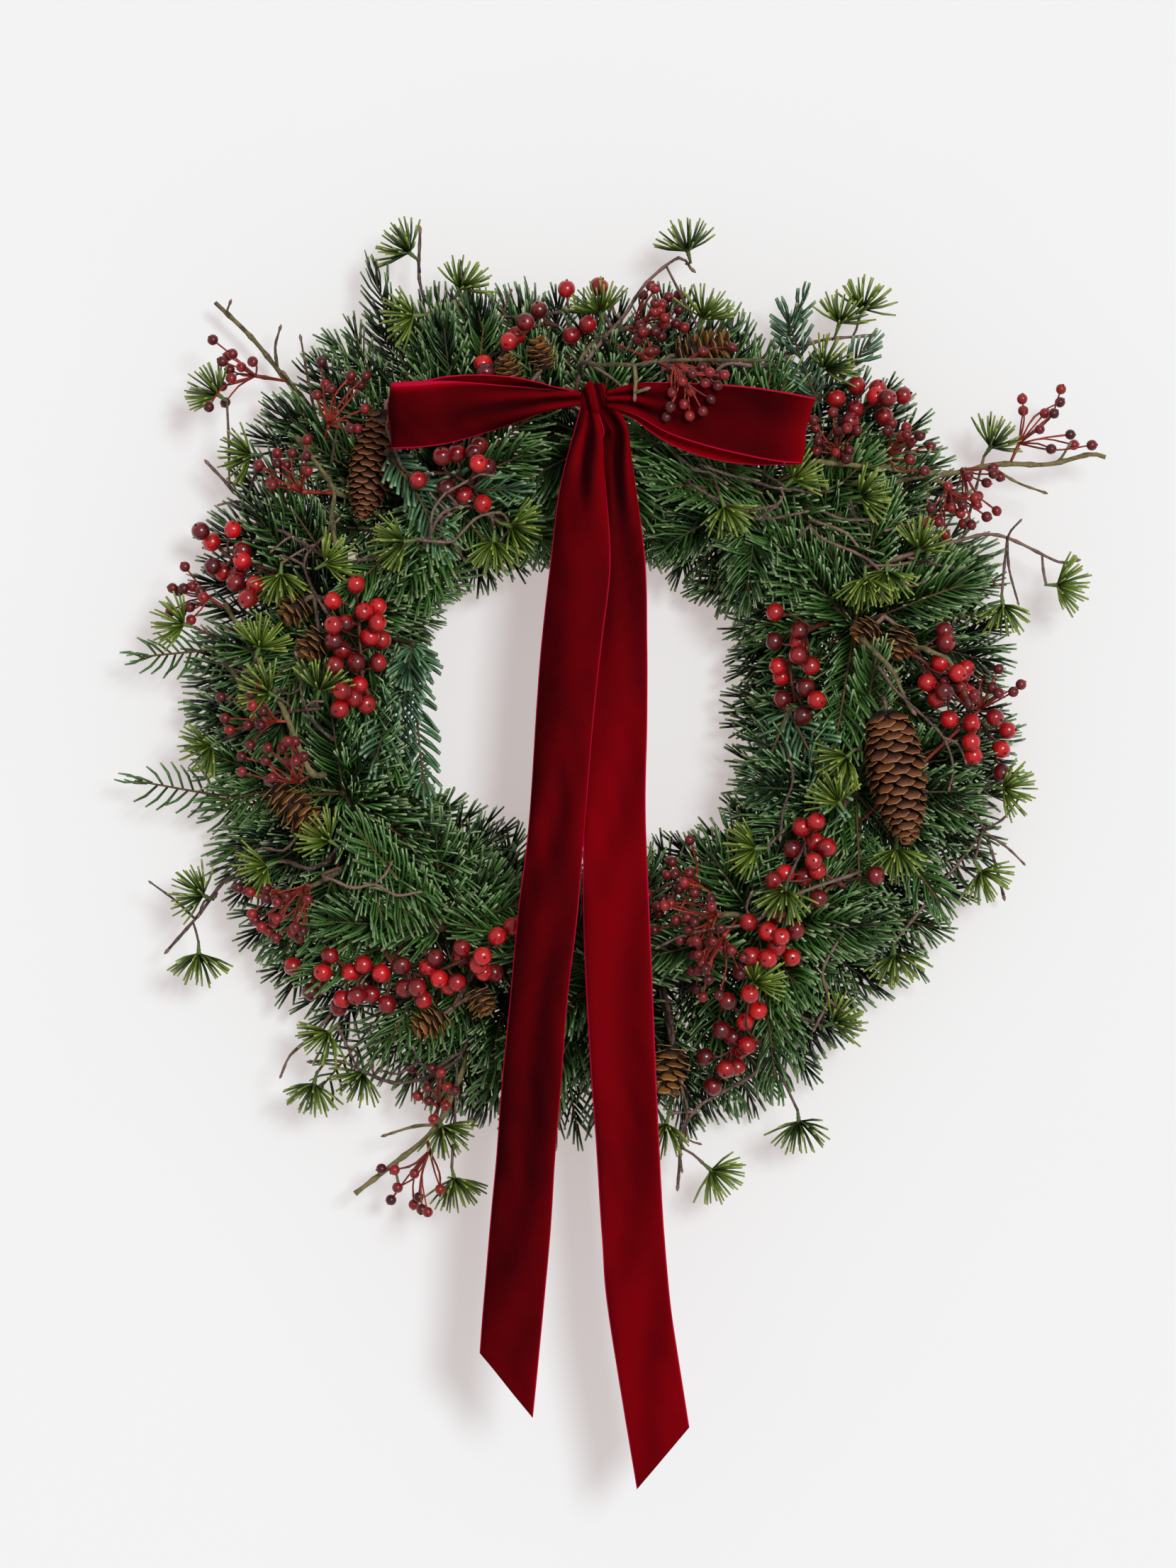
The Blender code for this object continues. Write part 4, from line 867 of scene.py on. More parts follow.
# Kinds of branchlet: its needles' width, thickness, reach and how far apart they grow; how far they stray
# from their two flat ranks, one form for each; and how far they lean out, in degrees.
SPRUCE_BOUGH = ((2.1 * MM, 1.1 * MM, 25 * MM, 1.75 * MM), (0.25, 0.55), 50)
SPARSE_BOUGH = ((1.95 * MM, 0.95 * MM, 19 * MM, 2.3 * MM), (0.3,), 68)
BACK_BOUGH = ((2.0 * MM, 1.0 * MM, 20 * MM, 1.5 * MM), (0.5,), 54)
FIR_BOUGH = ((2.35 * MM, 0.75 * MM, 17 * MM, 1.85 * MM), (0.3, 0.45), 56)
BOUGH_LENGTHS = (45 * MM, 70 * MM, 95 * MM, 125 * MM)
BOUGH_VARIANTS = 2
TUFT_VARIANTS = 3
TUFT_NEEDLES = 34
TUFT_REACH = 21 * MM
TUFT_NEEDLE_SIZE = (1.65 * MM, 1.45 * MM)
# The rings of a tuft's socket and of a bud: their heights and radii in mm.
SOCKET_RINGS = [(-9.0, 0.75), (-7.6, 1.0), (-6.8, 0.85), (-5.6, 1.2), (-4.8, 1.0), (-3.4, 1.45), (-2.4, 1.25),
                (-0.9, 1.8), (0.6, 1.75), (0.0, 0.9)]
BUD_RINGS = [(-0.4, 0.9), (0.3, 1.15), (0.6, 0.95), (1.6, 1.3), (3.0, 0.95), (4.3, 0.25)]
TIP_BRUSH = 16 * MM

# How far out the foliage reaches and how far in, by its angle from +X in degrees, in millimetres.
FOLIAGE_OUTER = [
    (0, 262), (20, 268), (45, 280), (60, 262), (75, 270), (90, 262), (120, 295), (140, 286), (155, 276),
    (170, 262), (195, 262), (210, 266), (240, 277), (255, 272), (270, 276), (290, 274), (302, 266),
    (312, 250), (320, 264), (334, 266), (348, 268), (360, 262),
]
FOLIAGE_INNER = [
    (0, 78), (30, 92), (60, 92), (100, 86), (130, 102), (145, 112), (180, 123), (205, 112), (225, 90),
    (250, 90), (290, 85), (320, 100), (345, 84), (360, 78),
]

# Boughs that fill each spray: how many, how far inside the reach their tips lie, and how far forward, in mm.
OUTER_BOUGHS = [(10, (0, 12), (-4, 16)), (11, (6, 46), (20, 44))]
INNER_BOUGHS = [(5, (0, 10), (-2, 14)), (6, (6, 34), (20, 42))]
CROWN_BOUGHS = (13, (48, 96), (42, 58))
BACK_TURNS = 120
BACK_GAP = 7 * MM
REACHING = 284 * MM
OPEN_MIDDLE = 12 * MM
BOUGH_STEP = 8 * MM
FIR_COVER = 5 * MM
BOUGH_TURN = 0.34
BOUGH_BRUSH = 13 * MM
BOUGH_BEHIND = 9 * MM
BOUGH_TRIES = 14

# How many berries a full head of them has.
HEAD_COUNT = 11

# Bare twigs that wind over the foliage, by pixels. One that starts where another passes is its side twig.
BARE_TWIGS = {
    "upper_left": [
        [(591, 762), (609, 765), (630, 766), (640, 765), (655, 750), (670, 734), (686, 727), (693, 729),
         (697, 742)],
        [(686, 727), (706, 724), (716, 734), (717, 750), (709, 759)],
        [(609, 765), (609, 742), (612, 722), (622, 706), (630, 697), (647, 688), (665, 678), (678, 671),
         (692, 673)],
        [(630, 697), (641, 708), (648, 716)],
        [(630, 766), (621, 747), (626, 732), (633, 729)],
        [(640, 765), (654, 788)],
        [(464, 867), (454, 852), (442, 831), (433, 811), (429, 798), (433, 783), (446, 770), (459, 755),
         (476, 736)],
        [(429, 798), (415, 790), (400, 785)],
        [(446, 770), (437, 771), (431, 766)],
        [(461, 1035), (443, 1018), (433, 997), (425, 972), (426, 946), (420, 926)],
        [(425, 972), (409, 980), (396, 974)],
        [(433, 997), (445, 990), (452, 990)],
        [(560, 640), (545, 600), (560, 570), (580, 560)],
    ],
    "lower_left": [
        [(470, 1240), (500, 1252), (530, 1247), (560, 1262), (590, 1258)],
        [(530, 1247), (546, 1232), (552, 1220)],
        [(420, 1180), (400, 1200), (372, 1196), (350, 1206)],
        [(640, 1490), (610, 1510), (590, 1500), (560, 1516), (540, 1512)],
        [(590, 1500), (584, 1482)],
        [(430, 1470), (408, 1490), (400, 1506), (396, 1516)],
    ],
    "right": [
        [(998, 662), (1023, 671), (1056, 679), (1082, 688), (1100, 692), (1123, 693), (1146, 698),
         (1165, 692)],
        [(1100, 692), (1104, 701), (1095, 715), (1082, 725), (1074, 731)],
        [(1095, 715), (1056, 722)],
        [(980, 688), (1000, 701), (1023, 710), (1056, 730), (1074, 734), (1102, 731), (1134, 724)],
        [(960, 650), (980, 666), (1000, 669), (1021, 682)],
        [(1164, 725), (1184, 733), (1210, 735), (1235, 733), (1256, 733), (1271, 739), (1289, 745),
         (1303, 756)],
        [(1271, 739), (1262, 745), (1252, 748)],
        [(1131, 753), (1141, 743), (1151, 756), (1169, 767), (1192, 776), (1215, 786), (1233, 799),
         (1250, 817), (1266, 824), (1289, 827), (1301, 822)],
        [(1233, 799), (1261, 798), (1277, 795)],
        [(1154, 739), (1179, 747), (1197, 758), (1205, 768)],
        [(1314, 794), (1337, 801), (1363, 805), (1380, 808), (1405, 822)],
    ],
    "lower_right": [
        [(1180, 1240), (1120, 1262), (1060, 1300), (1000, 1310), (960, 1320), (930, 1334)],
        [(1060, 1300), (1052, 1280), (1058, 1262)],
        [(1245, 952), (1262, 975), (1300, 1010), (1330, 1040), (1345, 1080), (1340, 1110)],
        [(1330, 1040), (1352, 1050), (1362, 1072)],
        [(1180, 1330), (1160, 1370), (1168, 1410), (1150, 1450)],
        [(1168, 1410), (1186, 1424)],
        [(1110, 1060), (1118, 1100), (1105, 1140), (1100, 1180)],
        [(960, 1530), (970, 1570), (958, 1610), (962, 1650)],
    ],
}
OLIVE_TWIGS = [
    [(1169, 654), (1215, 657), (1262, 662), (1296, 667), (1324, 669)],
    [(1220, 682), (1250, 684), (1281, 675), (1309, 674), (1330, 679)],
    [(1226, 915), (1250, 939), (1263, 957), (1273, 983), (1284, 1000)],
    [(1311, 919), (1337, 930), (1352, 958), (1364, 985)],
    [(436, 640), (470, 690), (468, 730), (474, 765)],
    [(330, 950), (352, 985), (372, 1010)],
]
TWIG_LIFT = 10 * MM
BARE_TWIG = 1.05 * MM

# The olive twig that reaches over the right loop, and its head of berries: pixels, and how far forward in mm.
OVER_LOOP = [(820, 515, 70), (846, 521, 91), (870, 520, 98), (894, 522, 100), (930, 516, 100), (985, 514, 98),
             (1085, 514, 93)]
OVER_LOOP_SIDES = [[(894, 522, 100), (896, 540, 101), (895, 563, 101)], [(895, 560, 101), (908, 556, 103)]]
OVER_LOOP_HEAD = ((950, 518, 99), (982, 562, 101))


# What follows dresses the plan. Lengths are in metres, and each form is made once and laid down many times.
DRESS_SEED = 5
GOLDEN_TURN = 2.39996
UPRIGHT = Vector((0, 0, 1))
# The radius of a branchlet's stem at its root and at its tip.
BRANCHLET_STEM = (1.1 * MM, 0.6 * MM)
TWIG_STEP = 4 * MM
# How a slim cone and a broad one are built: their tone; where their girth begins, how far it runs and how
# full it is; their core's share of it; then a scale's size, lean, width and thickness, and how deep it sits.
CONE_BUILDS = {
    "slim": (-0.6, 0.12, 0.9, 0.55, 0.62, 0.64, 30, 1.3, 0.55, 0.45),
    "broad": (0.5, 0.2, 0.75, 0.6, 0.5, 0.9, 62, 1.1, 0.8, 0.8),
}


def blank():
    """An empty mesh with the two numbers a finish reads: how far out from the root, and its own shade."""
    bm = bmesh.new()
    bm.verts.layers.float.new("along")
    bm.verts.layers.float.new("tint")
    return bm


def meshed(name, bm):
    mesh = bpy.data.meshes.new(name)
    bm.to_mesh(mesh)
    bm.free()
    return mesh


def link(name, data):
    made = bpy.data.objects.new(name, data)
    bpy.context.scene.collection.objects.link(made)
    return made


def run_of(points):
    """How far along a line each of its points lies."""
    steps = np.linalg.norm(np.diff(points, axis=0), axis=1)
    return np.concatenate([[0.0], np.cumsum(steps)])


def paint(faces, finish_name):
    for face in faces:
        face.material_index = FINISH_NAMES.index(finish_name)
        face.smooth = True


def beside(points):
    """The way along a curve at each point, and two directions beside it that are carried on untwisted."""
    ways = np.gradient(points, axis=0)
    ways /= np.linalg.norm(ways, axis=1)[:, None]
    sides = [np.cross(ways[0], (0.02, 1.0, 0.01))]
    for way in ways:
        side = sides[-1] - way * (sides[-1] @ way)
        sides.append(side / np.linalg.norm(side))
    return ways, np.array(sides[1:]), np.cross(ways, sides[1:])


class Form:
    """A small shape that is made once and laid down many times, its place worked into its vertices."""

    def __init__(self, bm, roots=None, length=1.0):
        self.mesh = meshed("form", bm)
        count = len(self.mesh.vertices)
        points, self.tints = np.empty(count * 3, np.float32), np.empty(count, np.float32)
        self.mesh.vertices.foreach_get("co", points)
        self.mesh.attributes["tint"].data.foreach_get("value", self.tints)
        self.points = points.reshape(-1, 3).astype(float)
        self.roots, self.length = np.array(roots), length

    def lay(self, onto, points, tint):
        self.mesh.vertices.foreach_set("co", points.astype(np.float32).ravel())
        self.mesh.attributes["tint"].data.foreach_set("value", self.tints + np.float32(tint))
        onto.from_mesh(self.mesh)

    def put(self, onto, matrix, tint=0.0):
        """Lays it down moved, turned and sized by a matrix."""
        turned = np.array(matrix)
        self.lay(onto, self.points @ turned[:3, :3].T + turned[:3, 3], tint)

    def bend(self, onto, curve, roll, tint):
        """Lays it down with its upright line bent along a curve, and what grows on it turned to suit."""
        points = np.array([tuple(point) for point in curve])
        reached = run_of(points)
        at = self.roots * reached[-1] / self.length

        def spread(values):
            return np.stack([np.interp(at, reached, values[:, axis]) for axis in range(3)], axis=1)

        ways, sides, ups = [spread(values) for values in beside(points)]
        x, y, z = self.points[:, 0:1], self.points[:, 1:2], self.points[:, 2:3] - self.roots[:, None]
        across = x * math.cos(roll) - y * math.sin(roll)
        over = x * math.sin(roll) + y * math.cos(roll)
        self.lay(onto, spread(points) + across * sides + over * ups + z * ways, tint)


def gather(onto, bm, finish_name, tint, sides):
    """Adds a stem to a piece's mesh, with its numbers and its finish."""
    along, shade = bm.verts.layers.float.new("along"), bm.verts.layers.float.new("tint")
    along = bm.verts.layers.float["along"]
    rings = max(1, len(bm.verts) // sides - 1)
    for vert in bm.verts:
        vert[along] = min(1.0, vert.index // sides / rings)
        vert[shade] = tint
    paint(bm.faces, finish_name)
    loose = meshed("loose", bm)
    onto.from_mesh(loose)
    bpy.data.meshes.remove(loose)


def needle_form(sides, finish_name, root, tip, bow):
    """A needle of unit length and width, slim at its root, bowed and widest midway, with a blunt tip."""
    bm = blank()
    bmesh.ops.create_cone(
        bm, cap_ends=True, segments=sides, radius1=root, radius2=tip, depth=1,
        matrix=Matrix.Translation((0, 0, 0.5)),
    )
    walls = [edge for edge in bm.edges if abs(edge.verts[0].co.z - edge.verts[1].co.z) > 0.5]
    if bow:
        bmesh.ops.subdivide_edges(bm, edges=walls, cuts=1)
    along = bm.verts.layers.float["along"]
    for vert in bm.verts:
        vert[along] = vert.co.z
        if 0.3 < vert.co.z < 0.7:
            wider = 0.53 / math.hypot(vert.co.x, vert.co.y)
            vert.co = (vert.co.x * wider - bow, vert.co.y * wider, 0.55)
    paint(bm.faces, finish_name)
    return Form(bm)


def stood(origin, x, y, z):
    """The matrix that lays a form's own three axes along these."""
    matrix = Matrix.Identity(4)
    matrix.col[0].xyz, matrix.col[1].xyz, matrix.col[2].xyz = x, y, z
    matrix.translation = origin
    return matrix


def needle_place(root, way, toward, width, thickness, length, bow):
    """A needle's matrix: its width lies in the plane that it leans in, and it is bowed there by a shear."""
    up = (toward - way * (toward @ way)).normalized()
    return stood(root, up * width, way.cross(up) * thickness, (way + up * bow).normalized() * length)


def bough_form(length, needle, size, stray, lean_at):
    """A straight branchlet: a ridged stem with needles combed to both its sides, more or less flat."""
    width, thickness, reach, spacing = size
    bm = blank()
    rungs = max(3, round(length / (7 * MM)))
    thick, thin = BRANCHLET_STEM
    points = [Vector((0, 0, length * k / rungs)) for k in range(rungs + 1)]
    radii = [thick + (thin - thick) * k / rungs for k in range(rungs + 1)]
    gather(bm, stem(points, radii, 5), "bough_stem", 0.0, 5)
    roots = [vert.co.z for vert in bm.verts]
    count = round(length / spacing)
    for index in range(count):
        share = (index + 0.5) / count
        turn = (index % 2) * math.pi + rng.gauss(0, stray)
        out = Vector((math.cos(turn), math.sin(turn), 0))
        lean = lean_at - 6 * share - 32 * share ** 7 + either(7)
        if index > count - 5:
            lean = 14 + rng.uniform(-8, 10)
        way = leaning(UPRIGHT, out, lean)
        root = out * 0.5 * MM + UPRIGHT * share * length
        size_here = reach * rng.uniform(0.86, 1.06) * (1 - 0.3 * share ** 9) * min(1.0, 0.55 + share * 4)
        matrix = needle_place(root, way, UPRIGHT, width, thickness, size_here, rng.uniform(0.05, 0.2))
        needle.put(bm, matrix, either(0.5))
        roots += [share * length] * len(needle.points)
    return Form(bm, roots, length)


def bough_forms(needle, size, strays, lean_at):
    return [bough_form(length, needle, size, stray, lean_at) for length in BOUGH_LENGTHS for stray in strays]


def lathe(rungs, sides, finish_name, tint):
    """A ringed stem along +Z, by the height and the radius of each ring in mm."""
    bm = blank()
    points = [Vector((0, 0, height * MM)) for height, _ in rungs]
    gather(bm, stem(points, [radius * MM for _, radius in rungs], sides), finish_name, tint, sides)
    return bm


def tuft_form(needle):
    """A ribbed socket whose mouth, at the origin, opens into a fan of thin needles round +Z."""
    bm = lathe(SOCKET_RINGS, 8, "socket_green", 0.0)
    for index in range(TUFT_NEEDLES):
        share = (index + 0.5) / TUFT_NEEDLES
        turn = index * GOLDEN_TURN + either(0.25)
        lean = 68 * share ** 0.6 + either(6)
        out = Vector((math.cos(turn), math.sin(turn), 0))
        root = out * share * 1.2 * MM + Vector((0, 0, -0.6 * MM))
        length = TUFT_REACH * rng.uniform(0.86, 1.05)
        toward = Vector((0, 0, 1.01)) + out * 0.05
        matrix = needle_place(root, leaning(UPRIGHT, out, lean), toward, *TUFT_NEEDLE_SIZE, length, -0.1)
        needle.put(bm, matrix, either(0.5))
    return Form(bm)


def berry_form(segments, rings, radius, nub):
    """A berry with a shallow dimple and a dark nub at +Z, away from its stalk."""
    bm = blank()
    along = bm.verts.layers.float["along"]
    bmesh.ops.create_uvsphere(bm, u_segments=segments, v_segments=rings, radius=1)
    for vert in bm.verts:
        height = vert.co.z
        # along rises from the stalk side to the nub, and the finish paints the berry darker towards the
        # stalk, as shade.
        vert[along] = 0.5 + 0.5 * height
        dimple = math.exp(-((1 - height) / 0.08) ** 2) * 0.1 + math.exp(-((1 + height) / 0.06) ** 2) * 0.08
        vert.co = vert.co * radius * (1 - dimple)
    paint(bm.faces, "glossy_berry" if radius > SMALL_BERRY_RADIUS else "dusty_skin")
    star = bmesh.ops.create_circle(bm, cap_ends=True, segments=8, radius=nub)["verts"]
    for index, vert in enumerate(star):
        vert.co *= 1.0 if index % 2 else 0.6
        vert.co.z = radius * 0.86
    lid = [face for face in bm.faces if all(vert in star for vert in face.verts)]
    raised = bmesh.ops.extrude_face_region(bm, geom=lid)["geom"]
    top = [item for item in raised if isinstance(item, bmesh.types.BMVert)]
    for vert in top:
        vert.co.x *= 0.6
        vert.co.y *= 0.6
        vert.co.z += radius * 0.2
    near = set(star) | set(top)
    crown = [face for face in bm.faces if all(vert in near for vert in face.verts)]
    bmesh.ops.recalc_face_normals(bm, faces=crown)
    paint(crown, "berry_calyx")
    return Form(bm)


def scale_form():
    """One scale of a cone: narrow at its root, broad and rounded at its lip, cupped and turned out there."""
    bm = blank()
    along = bm.verts.layers.float["along"]
    bmesh.ops.create_grid(bm, x_segments=4, y_segments=3, size=0.5)
    for vert in bm.verts:
        across, up = vert.co.x * 2, vert.co.y + 0.5
        width = 0.26 + 0.26 * math.sin(min(1.0, up / 0.72) * math.pi / 2)
        rounding = 1 - 0.3 * across * across * max(0.0, up - 0.4) / 0.6
        vert[along] = up
        rounding -= 0.05 * math.cos(across * 6) * up
        cup = 0.14 * (1 - across * across) * up + 0.16 * max(0.0, up - 0.7)
        vert.co = (across * width, cup, up * rounding)
    bmesh.ops.recalc_face_normals(bm, faces=bm.faces)
    bmesh.ops.solidify(bm, geom=bm.faces, thickness=0.045)
    bmesh.ops.recalc_face_normals(bm, faces=bm.faces)
    paint(bm.faces, "cone_brown")
    return Form(bm)


class Shown:
    """What the foliage stays behind: berries, heads, tufts and cones, as points seen from the front."""

    def __init__(self):
        self.rows = []

    def keep(self, point, radius):
        self.rows.append((point.x, point.z, -point.y, radius))

    def covered(self, curve):
        """How much a bough along this curve would cover, or run into."""
        shown = np.array(self.rows)
        samples = np.array([tuple(point) for point in curve])
        apart = np.hypot(samples[:, 0:1] - shown[:, 0], samples[:, 2:3] - shown[:, 1])
        near = np.clip(1 - apart / (shown[:, 3] + BOUGH_BRUSH), 0, 1)
        proud = np.clip(-samples[:, 1:2] + BOUGH_BEHIND - shown[:, 2], 0, 30 * MM)
        return float((near * proud).sum() / len(samples))


def reach_at(table, angle):
    """A distance from a table by angle, in metres."""
    degrees = math.degrees(angle) % 360
    return float(np.interp(degrees, [row[0] for row in table], [row[1] for row in table])) * MM


def ring_start(angle, toward):
    """A point just inside the ring's face at an angle, on the side that faces a point."""
    core = polar(angle, RING_RADIUS, 0)
    out = toward - core
    tangent = Vector((-math.sin(angle), 0, math.cos(angle)))
    out = (out - tangent * (out @ tangent)).normalized()
    return core + out * RING_TUBE * 0.8


def bough_curve(start, tip, arch):
    return smooth([start, (start + tip) / 2 + Vector((0, -arch, 0)), tip], BOUGH_STEP)


def find_bough(ends_of):
    """The best of several boughs for one place, so that what should show isn't covered."""
    best = None
    for attempt in range(BOUGH_TRIES):
        curve = bough_curve(*ends_of(attempt * 1.2 * MM), rng.uniform(2, 13) * MM)
        cover = shown.covered(curve)
        if best is None or cover < best[0]:
            best = (cover, curve)
        if cover < 0.05 * MM:
            break
    return best


def fill_curves(angle, hub):
    """The boughs that fill a spray out to the wreath's outline, in to its middle, and over its crown."""
    curves = []

    def add(count, ends_of):
        for _ in range(count):
            cover, curve = find_bough(ends_of)
            if cover < 4 * MM:
                curves.append(curve)

    for table, side, boughs in ((FOLIAGE_OUTER, -1, OUTER_BOUGHS), (FOLIAGE_INNER, 1, INNER_BOUGHS)):
        for count, inside, forward in boughs:
            def to_edge(back):
                turn = either(BOUGH_TURN)
                reach = reach_at(table, angle + turn) + side * TIP_BRUSH + side * rng.uniform(*inside) * MM
                tip = polar(angle + turn, reach, rng.uniform(*forward) * MM - back)
                return ring_start(angle + turn * rng.uniform(0.3, 1.0), tip), tip
            add(count, to_edge)
    count, spread, forward = CROWN_BOUGHS

    def over_crown(back):
        heading = rng.uniform(0, math.tau)
        across = Vector((math.cos(heading), 0, math.sin(heading))) * rng.uniform(*spread) * MM
        turned, far = angle_of(hub + across), (hub + across - CENTRE).xz.length
        least = reach_at(FOLIAGE_INNER, turned) + TIP_BRUSH
        most = reach_at(FOLIAGE_OUTER, turned) - TIP_BRUSH
        tip = polar(turned, min(max(far, least), most), rng.uniform(*forward) * MM - back)
        return hub + across * 0.02, tip

    add(count, over_crown)
    return curves


def back_curves(sprays):
    """Gives each spray low boughs wherever the others leave the wall open beside it."""
    spots = [(point.x, point.z) for spray in sprays for curve in spray.far + spray.near for point in curve]
    for step in range(BACK_TURNS):
        angle = math.tau * step / BACK_TURNS
        inside = reach_at(FOLIAGE_INNER, angle) + 13 * MM
        outside = reach_at(FOLIAGE_OUTER, angle) - 17 * MM
        for radius in sorted(np.arange(inside, outside, BACK_GAP), key=lambda far: -abs(far - RING_RADIUS)):
            spot = polar(angle, float(radius), 0)
            gap = min(math.hypot(spot.x - x, spot.z - z) for x, z in spots)
            if gap < BACK_GAP or abs(radius - RING_RADIUS) < RING_TUBE + 4 * MM:
                continue
            beyond = 6 * MM if radius > RING_RADIUS else -6 * MM
            tip = polar(angle, float(radius) + beyond, rng.uniform(2, 14) * MM)
            curve = bough_curve(ring_start(angle + either(0.15), tip), tip, 3 * MM)
            spots += [(point.x, point.z) for point in curve]
            nearest = min(sprays, key=lambda spray: abs((spray.angle - angle + math.pi) % math.tau - math.pi))
            nearest.back.append(curve)


def reaches(curve):
    """Whether a branchlet is one of those that stand out alone at the left, sparser than the rest."""
    return curve[-1].x < CENTRE.x - REACHING / 2 and (curve[-1] - CENTRE).xz.length > REACHING


def spray_stem(piece):
    """A spray's mesh with its stem from the ring, a little way past its hub."""
    bm = blank()
    start, knee, hub = piece.path
    points = [start, knee, hub, hub + way_to(knee, hub) * 2.5 * MM]
    grow_twig(bm, points, SPRAY_STEM, SPRAY_STEM, "bough_stem")
    return bm


def short_of_middle(curve):
    """A branchlet without the end whose needles would close the wreath's middle."""
    kept = smooth(curve, BOUGH_STEP)
    while len(kept) > 3:
        if (kept[-1] - CENTRE).xz.length > reach_at(FOLIAGE_INNER, angle_of(kept[-1])) + OPEN_MIDDLE:
            break
        kept.pop()
    return kept


def lay_boughs(bm, curves, forms, shade=0.0, roll=0.6):
    for curve in curves:
        length = sum((b - a).length for a, b in zip(curve, curve[1:]))
        fits = sorted(forms, key=lambda form: abs(form.length - length))[:BOUGH_VARIANTS]
        rng.choice(fits).bend(bm, curve, either(roll), shade + rng.uniform(-0.8, 0.7))


def grow_twig(onto, points, first, last, finish_name, sides=7, knots=18 * MM, step=TWIG_STEP):
    """A twig along the points, swollen and ringed at every bud."""
    path = smooth(points, step)
    shade = either(0.5)
    radii = []
    reached = 0.0
    next_knot = knots * rng.uniform(0.5, 1.2)
    for index, point in enumerate(path):
        reached += (point - path[max(0, index - 1)]).length
        radius = first + (last - first) * index / (len(path) - 1)
        if reached >= next_knot:
            radius *= 1.32
            next_knot += knots * rng.uniform(0.7, 1.4)
        else:
            radius *= rng.uniform(0.93, 1.06)
        radii.append(radius)
    gather(onto, stem(path, radii, sides), finish_name, shade, sides)
    return path


def lay_bud(bm, path, size=1.0):
    """A bud at a twig's end, along its last way."""
    turned = upright_to(way_to(*path[-2:]))
    bud.put(bm, Matrix.Translation(path[-1]) @ turned @ Matrix.Scale(size, 4))


def lay_berry(bm, form, foot, centre, stalk, finish_name):
    """A berry on a slender bowed stalk."""
    way = way_to(foot, centre)
    turned = upright_to(way, rng.uniform(0, math.tau)) @ Matrix.Rotation(either(0.35), 4, "X")
    size = Matrix.Diagonal((rng.uniform(0.93, 1.04),) * 2 + (rng.uniform(0.96, 1.06), 1))
    form.put(bm, Matrix.Translation(centre) @ turned @ size, either(0.5))
    bend = (foot + centre) / 2 + way.orthogonal().normalized() * (centre - foot).length * either(0.2)
    grow_twig(bm, [foot, bend, centre], stalk, stalk * 0.75, finish_name, sides=5, knots=30 * MM, step=6 * MM)


def apart(spot, others):
    """How far a spot lies from the nearest of the others."""
    return min([(spot - other).length for other in others], default=1.0)


def fill_head(piece, hub, axis, reach, spots):
    """The spots of a head's berries: the planned ones, and more between them."""
    spots = list(spots)
    others = room.owners != piece.owner
    for index in range(1, HEAD_COUNT * 6 + 1):
        if len(spots) >= HEAD_COUNT:
            break
        way = leaning(axis, beside_axis(axis, index * GOLDEN_TURN), rng.uniform(4, 64))
        spot = hub + way * max(reach, 17 * MM) * rng.uniform(0.7, 1.75)
        if apart(spot, spots) >= SMALL_BERRY_RADIUS * 2.3:
            if room.free(others, spot, spot) > SMALL_BERRY_RADIUS:
                spots.append(spot)
    return spots


def lay_twiglets(bm, piece, ends, radius, finish_name):
    """Bare side twiglets, each with its bud."""
    for near_pixel, tip_pixel in ends:
        near = place(near_pixel, foliage_forward(near_pixel))
        foot = join_point(piece.path, near)
        tip = place(tip_pixel, foliage_forward(tip_pixel) + 6 * MM)
        if abs(foot.y - near.y) > 12 * MM:
            tip.y = foot.y - 4 * MM
        bend = (foot + tip) / 2 + Vector((either(1), 0, either(1))) * 3 * MM
        path = grow_twig(bm, [foot, bend, tip], radius, radius * 0.6, finish_name, sides=6, knots=11 * MM)
        lay_bud(bm, path, radius / (1.3 * MM))


def over_foliage(pixel):
    """A place just clear of the foliage, a little nearer or farther from one spot to the next."""
    ripple = 3 * MM * math.sin(pixel[0] * 0.045 + pixel[1] * 0.03)
    return place(pixel, foliage_forward(pixel) + (TWIG_LIFT + ripple))


def wind_twigs(name, runs, radius, finish_name):
    """Twigs that come out of the ring through the foliage and wind over it, with their side twigs."""
    bm = blank()
    passed = set()
    for pixels in runs:
        points = [over_foliage(pixel) for pixel in pixels]
        first = radius * 0.8
        if pixels[0] not in passed:
            foot = ring_start(angle_of(points[0]), points[0])
            before = points[0] + (points[0] - points[1]) * 0.5 + Vector((0, 9 * MM, 0))
            points = [foot, (foot + before) / 2, before] + points
            first = radius
        passed.update(pixels)
        path = grow_twig(bm, points, first, radius * 0.7, finish_name, sides=6, knots=9 * MM, step=5 * MM)
        lay_bud(bm, path, radius / (1.35 * MM))
    dress("bare_twigs_" + name, bm, "vine")


